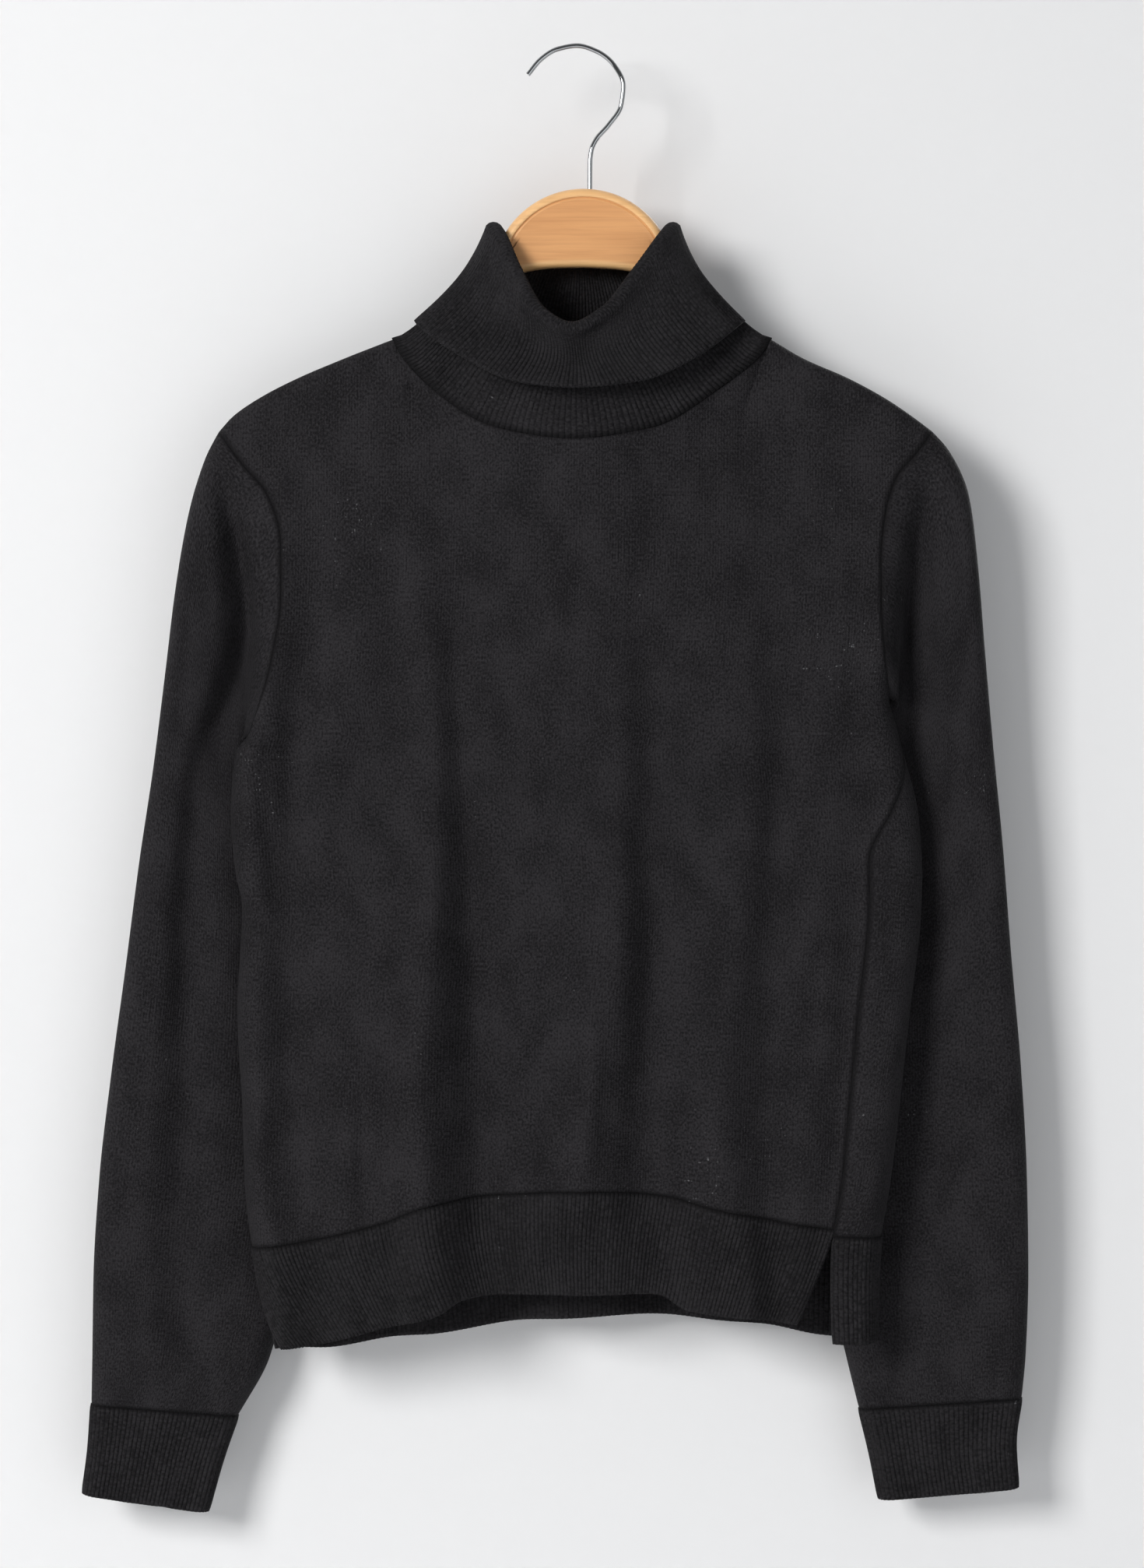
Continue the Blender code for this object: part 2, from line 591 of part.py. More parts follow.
def collar_grid():
    """The collar: up the stand, over the rim and down the fall, at each angle round the neck."""
    half = np.array(COLLAR_ANGLES, float)
    half = np.concatenate([half, (180 - half[::-1])[1:]])
    angles = np.concatenate([half, -half[::-1][1:-1]])
    size = {name: smooth(np.abs(angles), COLLAR["angle"], values) for name, values in COLLAR.items()}

    def loop(name):
        x = np.where(angles < 0, size[name + "_xl"], size[name + "_xr"])
        return np.stack([x, size[name + "_y"], size[name + "_z"]], -1)

    seam, rim, hem = loop("seam"), loop("rim"), loop("hem")
    centre = np.array([2.0, 0.0, 0.0])
    out = (seam - centre) * [1, 1, 0]
    out /= np.linalg.norm(out, axis=1)[:, None]
    up = (rim - seam) / np.linalg.norm(rim - seam, axis=1)[:, None]
    away = out - (out * up).sum(1)[:, None] * up
    away /= np.linalg.norm(away, axis=1)[:, None]
    roll = size["roll"][:, None]
    middle = rim - roll * up
    rows = []
    for w in (0.0, 0.15, 0.4, 0.7, 1.0):
        bow = size["stand_bow"][:, None] * math.sin(math.pi * w**0.6)
        rows.append(seam + (middle - roll * away - seam) * w + bow * away)
    for turn in (45, 90, 135):
        t = math.radians(turn)
        rows.append(middle + roll * (math.sin(t) * up - math.cos(t) * away))
    for w in (0.0, 0.35, 0.7, 1.0):
        bow = size["fall_bow"][:, None] * (0 if w == 1.0 else math.sin(math.pi * w**0.9))
        rows.append(middle + roll * away + (hem - middle - roll * away) * w + bow * away)
    return np.stack(rows)


def draw_back(grid, gaps):
    """Moves a grid's edges in by half of the gap given for each, towards the next row or column."""
    grid = grid.copy()
    ends = {
        "top": (np.s_[0], np.s_[1]),
        "bottom": (np.s_[-1], np.s_[-2]),
        "left": (np.s_[:, 0], np.s_[:, 1]),
        "right": (np.s_[:, -1], np.s_[:, -2]),
    }
    moved = []
    for name, gap in gaps.items():
        edge, inner = ends[name]
        step = grid[inner] - grid[edge]
        length = np.maximum(np.linalg.norm(step, axis=-1), 1e-6)
        moved.append((edge, step * (np.minimum(gap / 2, 0.8 * length) / length)[..., None]))
    for edge, move in moved:
        grid[edge] += move
    return grid


def material(name, colour, roughness, metallic=0.0):
    made = bpy.data.materials.new(name)
    made.use_nodes = True
    shader = made.node_tree.nodes["Principled BSDF"]
    shader.inputs["Base Color"].default_value = (*colour, 1.0)
    shader.inputs["Roughness"].default_value = roughness
    shader.inputs["Metallic"].default_value = metallic
    return made


def add_object(name, data, finish):
    data.materials.append(finish)
    made = bpy.data.objects.new(name, data)
    collection.objects.link(made)
    return made


def add_cloth(name, grid, wall, finish, is_tube=False, flip=False):
    """A piece of cloth: its grid of points as an open surface with walls, from Solidify."""
    rows, columns = grid.shape[:2]
    faces = []
    for r in range(rows - 1):
        for c in range(columns if is_tube else columns - 1):
            after = (c + 1) % columns
            face = (r * columns + c, (r + 1) * columns + c, (r + 1) * columns + after, r * columns + after)
            faces.append(face[::-1] if flip else face)
    mesh = bpy.data.meshes.new(name)
    mesh.from_pydata((grid.reshape(-1, 3) * MM).tolist(), [], faces)
    mesh.shade_smooth()
    made = add_object(name, mesh, finish)
    walls = made.modifiers.new("walls", "SOLIDIFY")
    walls.thickness = wall * MM
    walls.offset = 0.0
    walls.use_even_offset = True
    return made


def board_outline(inset):
    """The board's outline, this far in from its edge, as x, z points once round."""
    centre_z = BOARD_CENTRE[1]
    head = [
        (BOARD_TOP_RADIUS * math.sin(a), centre_z + BOARD_TOP_RADIUS * math.cos(a))
        for a in np.radians((10, 20, 30, 40, 50, 60))
    ]
    share = np.linspace(0, 1, BOARD_COLUMNS)
    top = along(np.array(head + list(zip(BOARD_TOP["out"], BOARD_TOP["z"]))), share)
    bottom = along(np.stack([BOARD_BOTTOM["out"], BOARD_BOTTOM["z"]], -1), share)
    tip_centre = (top[-1] + bottom[0]) / 2
    tip_radius = np.linalg.norm(top[-1] - bottom[0]) / 2
    start = math.atan2(*(top[-1] - tip_centre)[::-1])
    tip = [
        tip_centre + tip_radius * np.array([math.cos(start - a), math.sin(start - a)])
        for a in np.linspace(0, math.pi, 6)[1:-1]
    ]
    right = np.vstack([top, tip, bottom])
    left = right[:-1][::-1] * [-1, 1]
    crown = [[0.0, centre_z + BOARD_TOP_RADIUS]]
    line = np.vstack([crown, right, left])
    tangent = np.roll(line, -1, 0) - np.roll(line, 1, 0)
    tangent /= np.linalg.norm(tangent, axis=1)[:, None]
    line = line + inset * np.stack([tangent[:, 1], -tangent[:, 0]], -1)
    from_centre = line - [0, centre_z]
    c, s = math.cos(BOARD_TILT), math.sin(BOARD_TILT)
    x, z = from_centre.T
    return np.stack([c * x + s * z, c * z - s * x], -1) + BOARD_CENTRE


def fill_face(mesh, loop):
    """Closes the front or the back: quads from the top edge to the bottom edge, and the two tips."""
    middle = len(loop) // 2
    for side in (-1, 1):
        for k in range(BOARD_COLUMNS - 1):
            upper, lower = side * k, middle - side * k  # indices below 0 count back from the end
            mesh.faces.new((loop[upper], loop[upper + side], loop[lower - side], loop[lower]))
        tip = range(BOARD_COLUMNS - 1, middle - BOARD_COLUMNS + 2)
        mesh.faces.new([loop[side * k] for k in tip])


def add_board(finish):
    """The wooden board: its outline stepped round the edge's profile, and a hole for the wire."""
    mesh = bmesh.new()
    loops = []
    for inset, y in zip(BOARD_PROFILE["inset"], BOARD_PROFILE["y"]):
        loops.append([mesh.verts.new((x * MM, y * MM, z * MM)) for x, z in board_outline(inset)])
    for first, second in zip(loops, loops[1:]):
        for i in range(len(first)):
            after = (i + 1) % len(first)
            mesh.faces.new((first[i], second[i], second[after], first[after]))
    fill_face(mesh, loops[0])
    fill_face(mesh, loops[-1])
    bmesh.ops.recalc_face_normals(mesh, faces=mesh.faces)
    data = bpy.data.meshes.new("hanger_body")
    mesh.to_mesh(data)
    mesh.free()
    board = add_object("hanger_body", data, finish)
    depth = HOOK_LENGTH_IN_WOOD + 1.0
    top = BOARD_CENTRE[1] + BOARD_TOP_RADIUS
    bpy.ops.mesh.primitive_cylinder_add(
        vertices=16,
        radius=(WIRE_RADIUS + 0.35) * MM,
        depth=(depth + 6) * MM,
        location=(HOOK["x"][-1] * MM, 0, (top - depth / 2 + 3) * MM),
    )
    hole = bpy.context.active_object
    hole.name = "hole_cutter"
    hole.hide_render = True
    hole.display_type = "WIRE"
    for owner in hole.users_collection:
        owner.objects.unlink(hole)
    cutters.objects.link(hole)
    cut = board.modifiers.new("hole", "BOOLEAN")
    cut.object = hole
    cut.operation = "DIFFERENCE"
    return board


def add_hook(finish):
    """The bent wire, ending in its hole in the board."""
    points = along(np.stack([HOOK["x"], HOOK["z"]], -1), np.linspace(0, 1, 34))
    end = BOARD_CENTRE[1] + BOARD_TOP_RADIUS - HOOK_LENGTH_IN_WOOD
    points = np.vstack([points, [HOOK["x"][-1], end]])
    curve = bpy.data.curves.new("hanger_hook", "CURVE")
    curve.dimensions = "3D"
    curve.bevel_depth = WIRE_RADIUS * MM
    curve.bevel_resolution = 2
    curve.use_fill_caps = True
    wire = curve.splines.new("POLY")
    wire.points.add(len(points) - 1)
    for place, (x, z) in zip(wire.points, points):
        place.co = (x * MM, 0, z * MM, 1)
    return add_object("hanger_hook", curve, finish)


for old in list(bpy.data.objects):
    bpy.data.objects.remove(old)
collection = bpy.data.collections.new("turtleneck_sweater_on_hanger")
cutters = bpy.data.collections.new("cutters")
bpy.context.scene.collection.children.link(collection)
bpy.context.scene.collection.children.link(cutters)

jersey = material("black plain knit", (0.021, 0.020, 0.022), 0.9)
rib = material("black ribbed knit", (0.019, 0.018, 0.020), 0.9)
wood = material("lacquered wood", (0.77, 0.38, 0.14), 0.4)
chrome = material("chromed wire", (0.75, 0.75, 0.76), 0.12, 1.0)

steps = np.array(ARMHOLE_STEPS)
front = panel_grid(True)
back = panel_grid(False)
last_armhole_row = len(steps)
for side, edge, sections, folds, cuff in (
    ("left", 0, SLEEVE_LEFT, SLEEVE_LEFT_FOLDS, CUFF_LEFT),
    ("right", -1, SLEEVE_RIGHT, SLEEVE_RIGHT_FOLDS, CUFF_RIGHT),
):
    armhole = np.vstack([front[:last_armhole_row, edge], back[:last_armhole_row, edge][::-1][1:-1]])
    sleeve = tube_grid(sections, steps, armhole, folds)
    ends = {"top": SEAM_GAP["armhole"], "bottom": SEAM_GAP["cuff"]}
    add_cloth(f"sleeve_{side}", draw_back(sleeve, ends), JERSEY_WALL, jersey, True)
    cuff_rows = tube_grid(cuff, steps)
    add_cloth(f"cuff_{side}", draw_back(cuff_rows, {"top": SEAM_GAP["cuff"]}), RIB_WALL, rib, True)
columns = front.shape[1]
on_neck = (np.arange(columns) > SHOULDER_COLUMNS) & (np.arange(columns) < columns - SHOULDER_COLUMNS - 1)
top_gap = np.where(on_neck, 0.0, SEAM_GAP["shoulder"])
side_gap = np.where(np.arange(len(front)) < len(steps), SEAM_GAP["armhole"], SEAM_GAP["side"])
side_gap[len(steps) - 2 : len(steps)] = SEAM_GAP["armpit"]
for name, panel in (("front", front), ("back", back)):
    ends = {"top": top_gap, "bottom": SEAM_GAP["band"], "left": side_gap, "right": side_gap}
    add_cloth(name, draw_back(panel, ends), JERSEY_WALL, jersey)
    band = band_grid(name == "front", panel[-1])
    ends = {"top": SEAM_GAP["band"], "left": SEAM_GAP["side"], "right": SEAM_GAP["side"]}
    add_cloth(f"hem_band_{name}", draw_back(band, ends), RIB_WALL, rib)
add_cloth("collar", draw_back(collar_grid(), {"top": SEAM_GAP["band"]}), RIB_WALL, rib, True)
add_board(wood)
add_hook(chrome)
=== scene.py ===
"""A black fine-knit turtleneck sweater on a contoured wooden hanger, hung against a pale wall.

Sizes are in millimetres, in the object's own frame: X to the right seen from the front, Z up, the
front towards -Y, and the origin at the top of the inside of the hanger's hook.
"""

import math

import bpy
import numpy as np
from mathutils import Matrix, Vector


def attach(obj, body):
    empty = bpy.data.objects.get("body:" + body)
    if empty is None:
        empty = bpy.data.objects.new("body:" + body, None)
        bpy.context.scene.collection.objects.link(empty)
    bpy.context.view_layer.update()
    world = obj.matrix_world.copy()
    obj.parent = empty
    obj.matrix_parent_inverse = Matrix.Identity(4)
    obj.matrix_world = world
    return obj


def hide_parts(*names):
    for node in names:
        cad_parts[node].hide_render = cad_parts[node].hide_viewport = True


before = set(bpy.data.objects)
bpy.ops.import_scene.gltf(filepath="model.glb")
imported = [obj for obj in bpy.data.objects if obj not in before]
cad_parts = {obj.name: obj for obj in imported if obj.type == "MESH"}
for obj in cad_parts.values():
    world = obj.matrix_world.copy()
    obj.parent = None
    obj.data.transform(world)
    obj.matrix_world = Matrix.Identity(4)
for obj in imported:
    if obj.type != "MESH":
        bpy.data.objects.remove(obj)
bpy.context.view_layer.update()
MM = 0.001

# ---------------------------------------------------------------------------------------------
# Front and back. Two panels of fine plain knit, cut to shape and linked at the shoulders and down
# the sides. They hang flat from the hanger in long soft folds, over a hollow body.
# ---------------------------------------------------------------------------------------------

JERSEY_WALL = 1.4
BAND_TOP_Z = -665.0  # about where the hem bands start
ARMHOLE_SHARE = 0.38  # how much of a panel's rows, from top to bottom, lie along the armhole
COLLAR_PULL = 6.0  # how far the neckline stands out from the body's ring where the collar pulls fully
COLLAR_PULL_REACH = 45.0  # and how far below the neckline that dies away
SIDE_ROUNDING = 14.0  # how far in from a side edge the body's ring starts to bend
SHOULDER_ROUNDING = 7.0  # how far below the shoulder line the cloth has bent over the hanger


def table(columns, *rows):
    """A table of numbers, read by column name."""
    return dict(zip(columns.split(), np.array(rows, float).T))


def smooth(at, xs, ys):
    """A curve through the points of two columns that never overshoots them."""
    order = np.argsort(xs)
    xs, ys = np.asarray(xs, float)[order], np.asarray(ys, float)[order]
    step, rise = np.diff(xs), np.diff(ys)
    slope = rise / step
    tangent = np.zeros_like(xs)
    same = slope[:-1] * slope[1:] > 0
    ahead, behind = 2 * step[1:] + step[:-1], step[1:] + 2 * step[:-1]
    with np.errstate(divide="ignore", invalid="ignore"):
        mean = (ahead + behind) / (ahead / slope[:-1] + behind / slope[1:])
    tangent[1:-1] = np.where(same, mean, 0.0)
    tangent[0], tangent[-1] = slope[0], slope[-1]
    at = np.clip(at, xs[0], xs[-1])
    i = np.clip(np.searchsorted(xs, at) - 1, 0, len(step) - 1)
    t = (at - xs[i]) / step[i]
    return (
        ys[i] * (1 + 2 * t) * (1 - t) ** 2
        + ys[i + 1] * t * t * (3 - 2 * t)
        + step[i] * t * (1 - t) * ((1 - t) * tangent[i] - t * tangent[i + 1])
    )


def column(of, name, z):
    return smooth(z, of["z"], of[name])


# Body: the flattened ring of the front and back together, by height. It is hung from the hanger, so
# above the armpits (z -388 left, -366 right) the side edges are only where the ring would close.
BODY = table(
    "z       left    right  front  back",
    (-150, -214.0, 214.0, 8.4, 8.4),
    (-217, -213.0, 213.0, 9.5, 9.0),
    (-260, -205.0, 205.0, 12.0, 10.0),
    (-311, -192.0, 190.0, 14.5, 11.0),
    (-345, -187.0, 181.0, 16.0, 11.5),
    (-365, -185.5, 175.5, 16.5, 11.5),
    (-386, -185.0, 180.5, 17.0, 12.0),
    (-399, -193.0, 184.0, 17.0, 12.0),
    (-435, -195.4, 192.5, 18.0, 13.0),
    (-465, -193.0, 194.5, 18.5, 13.5),
    (-485, -189.2, 194.0, 19.0, 14.0),
    (-545, -191.8, 187.4, 20.0, 15.0),
    (-597, -189.0, 181.7, 21.0, 16.0),
    (-641, -187.5, 176.4, 22.0, 17.0),
    (-677, -183.5, 170.7, 22.0, 17.0),
    (-699, -179.5, 169.4, 22.0, 17.0),
    (-740, -171.0, 168.5, 22.0, 17.0),
)

# Shoulder line, from the side of the neck to the shoulder point. Front and back meet on it.
SHOULDER = table(
    "z       left    right",
    (-165.3, -104.5, 109.5),
    (-175.7, -131.0, 127.0),
    (-186.7, -157.0, 152.0),
    (-197.7, -178.5, 172.5),
    (-208.7, -194.5, 189.0),
    (-217.0, -202.0, 200.0),
)

# Armhole seams, from the shoulder point to the armpit, the same at the front and the back.
ARMHOLE_LEFT = table(
    "x       z",
    (-202.0, -217.0),
    (-194.5, -228.0),
    (-185.7, -239.0),
    (-174.7, -252.0),
    (-166.5, -280.0),
    (-166.5, -310.0),
    (-171.5, -345.0),
    (-178.5, -372.0),
    (-184.9, -388.0),
)
ARMHOLE_RIGHT = table(
    "x       z",
    (200.0, -217.0),
    (190.0, -231.0),
    (180.4, -242.0),
    (173.5, -262.0),
    (170.5, -290.0),
    (170.8, -320.0),
    (173.3, -348.0),
    (175.6, -366.0),
)

# Side seams, as how far in from the side edge they run along the front (below 0: round the back).
# The back wraps forward at the right, so that its seam shows.
SIDE_SEAM = table(
    "z      left   right",
    (-365, 0.0, 0.0),
    (-392, 0.0, 2.0),
    (-410, -8.0, 10.0),
    (-430, -8.0, 24.0),
    (-460, -8.0, 40.0),
    (-740, -8.0, 41.0),
)

# Where the hem bands start and end, by x: on the front seen from the front, on the back behind it.
BAND_TOP_FRONT = table(
    "x     z",
    (-215, -679.0),
    (-168, -675.0),
    (-107, -661.0),
    (-86, -652.0),
    (-45, -646.5),
    (0, -643.5),
    (52, -647.5),
    (72, -652.5),
    (141, -665.5),
    (190, -670.0),
)
HEM_FRONT = table(
    "x     z",
    (-215, -736.0),
    (-161, -732.0),
    (-107, -719.0),
    (-80, -712.0),
    (-66, -705.0),
    (-18, -701.0),
    (44, -702.0),
    (60, -710.5),
    (98, -715.0),
    (120, -718.5),
    (190, -721.0),
)
BAND_TOP_BACK = table(
    "x     z",
    (-215, -679.0),
    (-120, -676.0),
    (0, -665.0),
    (110, -668.0),
    (190, -671.5),
)
HEM_BACK = table(
    "x     z",
    (-215, -736.0),
    (-160, -736.0),
    (-90, -728.5),
    (0, -719.0),
    (48, -718.0),
    (100, -723.0),
    (140, -729.0),
    (190, -731.0),
)
# The slits: how much the ends of a band draw back at the hem from the side seam above it.
SLIT = {"front_left": 24.0, "front_right": 18.0, "back_left": -2.0, "back_right": 3.0}

# Folds: each row is the line of one ridge or valley, from the chest down to the hem. x0 to x4 are
# where it is at the heights in FOLD_LEVELS, and h0 to h4 how far it stands out there.
FOLD_LEVELS = (-290, -400, -500, -600, -690)
FOLD_COLUMNS = "x0 x1 x2 x3 x4 h0 h1 h2 h3 h4"
FRONT_FOLDS = table(
    FOLD_COLUMNS,
    (-166, -182, -181, -181, -172, 2.0, 7.0, 3.0, 5.0, 3.0),
    (-138, -160, -162, -160, -150, -2.0, -6.0, -6.0, -4.0, -1.0),
    (-118, -132, -140, -128, -120, 1.0, 2.0, -3.0, 3.0, 4.0),
    (-105, -110, -124, -112, -108, 0.0, -2.0, -2.0, 3.0, 5.0),
    (-86, -80, -83, -88, -84, 1.5, 6.0, 12.0, 16.0, 14.0),
    (-70, -64, -58, -54, -52, 0.0, -3.0, -8.0, -9.0, -10.0),
    (-45, -38, -30, -22, -20, 0.5, 0.0, -2.0, 1.0, 3.0),
    (8, 22, 22, 6, 2, 1.0, 5.0, 9.0, 12.0, 8.0),
    (38, 43, 44, 40, 42, 0.0, -3.0, -5.0, -6.0, -6.0),
    (90, 97, 89, 80, 92, 1.0, 5.0, 7.0, 9.0, 9.0),
    (108, 113, 110, 106, 112, 0.0, -1.0, -2.0, -3.0, -2.0),
    (148, 143, 136, 130, 122, 1.0, 2.0, 2.0, 1.0, 3.0),
    (158, 160, 154, 148, 134, 0.5, 0.0, -1.5, -2.0, -1.0),
    (168, 178, 168, 160, 150, 1.0, 2.0, 4.0, 4.0, 4.0),
)
BACK_FOLDS = table(
    FOLD_COLUMNS,
    (-160, -168, -168, -166, -158, 0.0, 1.0, 2.0, 3.0, 3.0),
    (-132, -140, -146, -142, -140, 0.0, -2.0, -3.0, -3.0, -3.0),
    (-92, -96, -104, -112, -110, 1.0, 4.0, 6.0, 8.0, 8.0),
    (-64, -66, -72, -78, -80, 0.0, -2.0, -4.0, -6.0, -5.0),
    (-20, -24, -30, -34, -38, 0.5, 3.0, 6.0, 9.0, 9.0),
    (10, 8, 2, -2, -4, 0.0, -2.0, -4.0, -5.0, -6.0),
    (52, 54, 50, 44, 42, 0.5, 3.0, 5.0, 7.0, 7.0),
    (82, 86, 84, 80, 78, 0.0, -2.0, -4.0, -5.0, -5.0),
    (124, 128, 122, 116, 112, 0.5, 3.0, 5.0, 6.0, 7.0),
    (156, 158, 152, 144, 138, 0.0, 0.0, -1.0, -1.0, -1.0),
)

# Small creases, besides the folds: how far each stands out (below 0: a trough), how wide it is to
# its left and its right, and the x, z points that it runs through.
FRONT_CREASES = (
    (-3.1, 12, 9, (-110, -340), (-119, -388), (-132, -421), (-138, -452)),
    (-2.2, 9, 13, (-42, -340), (-36, -380), (-28, -418)),
    (-2.2, 3.2, 4.0, (-122, -590), (-121, -630), (-122, -664)),
    (1.7, 4, 5, (-128, -600), (-128, -632), (-129, -662)),
    (-0.7, 3, 3, (-182, -447), (-140, -449), (-80, -452)),
    (-0.7, 3, 3, (84, -460), (130, -462), (184, -474)),
    (-0.6, 3, 3, (-150, -430), (-110, -428), (-70, -434)),
    (-0.8, 3, 3, (-155, -483), (-146, -487), (-136, -496)),
    (-0.6, 3, 4, (-60, -560), (0, -556), (60, -562)),
    (-0.6, 3, 3, (60, -516), (100, -512), (146, -518)),
    (-0.6, 4, 3, (-40, -396), (10, -400), (60, -394)),
    (-0.6, 3, 3, (100, -600), (130, -604), (160, -598)),
    (-3.4, 5, 4, (-175, -372), (-177, -430), (-172, -462), (-172, -480)),
    (-2.6, 3.5, 4, (-190, -484), (-181, -492), (-170, -500)),
    (-2.6, 6, 7, (-88, -492), (-76, -497), (-60, -502)),
    (2.2, 6, 8, (-94, -480), (-80, -485), (-64, -488)),
    (-1.8, 10, 10, (-150, -262), (-153, -300), (-158, -345)),
    (1.7, 9, 12, (60, -240), (72, -300), (84, -360)),
    (-1.7, 12, 9, (-60, -236), (-64, -290), (-62, -350)),
    (1.4, 14, 12, (20, -238), (22, -300), (20, -360)),
    (-2.2, 6, 8, (122, -330), (118, -380), (120, -430)),
    (-2.0, 7, 6, (140, -480), (132, -540), (128, -600)),
    (-2.5, 5, 7, (12, -520), (16, -570), (10, -640), (6, -700)),
    (1.7, 8, 6, (-12, -560), (-10, -620), (-14, -700)),
    (-1.7, 6, 6, (70, -560), (64, -620), (70, -690)),
    (1.8, 5, 6, (-148, -520), (-150, -570), (-146, -640)),
    (-2.1, 5, 5, (-98, -520), (-104, -580), (-100, -650)),
    (-0.7, 6, 4, (-150, -240), (-132, -234), (-116, -232)),
    (-0.8, 6, 4, (118, -232), (134, -234), (152, -240)),
    (-1.7, 4, 5, (150, -372), (160, -366), (172, -362)),
    (-1.7, 4, 5, (-152, -398), (-166, -392), (-182, -388)),
    (-0.8, 5, 5, (146, -392), (158, -398), (174, -400)),
    (-0.9, 5, 5, (-148, -412), (-160, -410), (-176, -414)),
)
BACK_CREASES = (
    (-1.8, 9, 12, (-118, -330), (-124, -400), (-130, -470)),
    (1.4, 10, 8, (-50, -300), (-54, -380), (-50, -460)),
    (-1.5, 8, 10, (30, -320), (26, -400), (30, -480)),
    (1.2, 10, 12, (104, -310), (108, -380), (100, -450)),
    (-2.0, 4, 5, (-122, -560), (-126, -620), (-120, -690)),
    (-1.6, 5, 5, (62, -540), (58, -610), (62, -690)),
    (-2.2, 4, 4, (148, -470), (140, -478), (128, -482)),
    (-1.4, 5, 5, (-170, -400), (-158, -406), (-146, -404)),
    (-1.4, 5, 5, (168, -378), (158, -384), (146, -383)),
    (1.1, 9, 9, (-8, -560), (-14, -620), (-12, -700)),
)


def crease_height(creases, x, z):
    """The creases' height at x, z: each fades out at its ends and to both of its sides."""
    total = np.zeros(np.broadcast(x, z).shape)
    for height, left, right, *points in creases:
        line = along(np.array(points, float), np.linspace(0, 1, 13))
        nearest = np.full(total.shape, 1e9)
        place, side = np.zeros_like(total), np.zeros_like(total)
        for k, (start, end) in enumerate(zip(line, line[1:])):
            run = end - start
            length = np.hypot(*run)
            t = np.clip(((x - start[0]) * run[0] + (z - start[1]) * run[1]) / length**2, 0, 1)
            away_x, away_z = x - start[0] - t * run[0], z - start[1] - t * run[1]
            distance = np.hypot(away_x, away_z)
            closer = distance < nearest
            nearest = np.where(closer, distance, nearest)
            place = np.where(closer, (k + t) / (len(line) - 1), place)
            side = np.where(closer, away_z * run[0] - away_x * run[1], side)
        width = np.where(side > 0, right, left)
        ends = np.sin(np.pi * np.clip(place, 0, 1)) ** 0.7
        total += height * ends * np.exp(-((nearest / width) ** 2))
    return total


def along(points, fractions):
    """Points at these fractions of the length of a line."""
    steps = np.linalg.norm(np.diff(points, axis=0), axis=1)
    length = np.concatenate([[0], np.cumsum(steps)])
    return np.stack([smooth(np.asarray(fractions) * length[-1], length, c) for c in points.T], -1)


def fold_height(folds, levels, x, z):
    """How far the cloth stands out at x, z: it eases from each fold's line to the next one's."""
    z = np.clip(z, levels[-1], levels[0] + 60)
    lines_x = [smooth(z, levels, [folds[f"x{i}"][k] for i in range(5)]) for k in range(len(folds["x0"]))]
    lines_h = [smooth(z, levels, [folds[f"h{i}"][k] for i in range(5)]) for k in range(len(folds["h0"]))]
    height = np.where(x < lines_x[0], lines_h[0], lines_h[-1])
    for x0, x1, h0, h1 in zip(lines_x, lines_x[1:], lines_h, lines_h[1:]):
        t = np.clip((x - x0) / np.maximum(x1 - x0, 1e-6), 0, 1)
        height = np.where((x >= x0) & (x < x1), h0 + (h1 - h0) * t * t * (3 - 2 * t), height)
    return height * np.clip((levels[0] + 60 - z) / 60, 0, 1)


def ring_sizes(z):
    """Middle, half width of the flat part, and length of a quarter of the bend at the side."""
    left, right = column(BODY, "left", z), column(BODY, "right", z)
    depth = (column(BODY, "front", z) + column(BODY, "back", z)) / 2
    bend = math.pi / 2 * np.sqrt((SIDE_ROUNDING**2 + depth**2) / 2)
    return (left + right) / 2, (right - left) / 2 - SIDE_ROUNDING, bend


def body_point(p, z):
    """The point of the body's ring at height z, p round it from the middle of the front."""
    middle, flat, bend = ring_sizes(z)
    side, out = np.sign(p), np.abs(p)
    turn = np.clip((out - flat) / bend, 0, 2) * math.pi / 2
    beyond = np.maximum(out - flat - 2 * bend, 0)
    x = middle + side * (np.minimum(out, flat) + SIDE_ROUNDING * np.sin(turn) - beyond)
    lens = 0.3 * np.clip((-230 - z) / 120, 0, 1)
    across = 1 - lens * ((x - middle) / (flat + SIDE_ROUNDING)) ** 2
    front = column(BODY, "front", z) * across + fold_height(FRONT_FOLDS, FOLD_LEVELS, x, z)
    back = column(BODY, "back", z) * across + fold_height(BACK_FOLDS, FOLD_LEVELS, x, z)
    front = front + crease_height(FRONT_CREASES, x, z)
    back = back + crease_height(BACK_CREASES, x, z)
    facing = np.cos(turn)
    hang_back = 3.0 * np.clip((-217 - z) / 200, 0, 1)
    y = hang_back * (1 - facing**2) - facing * np.where(facing > 0, front, back)
    return np.stack([x, y, z + 0 * x], -1)


def place_on_ring(x, z):
    """How far round the ring from the middle of the front the front's point at x, z is."""
    middle, flat, bend = ring_sizes(z)
    past = np.clip((np.abs(x - middle) - flat) / SIDE_ROUNDING, 0, 1)
    out = np.minimum(np.abs(x - middle), flat) + bend * np.arcsin(past) / (math.pi / 2)
    return np.sign(x - middle) * out


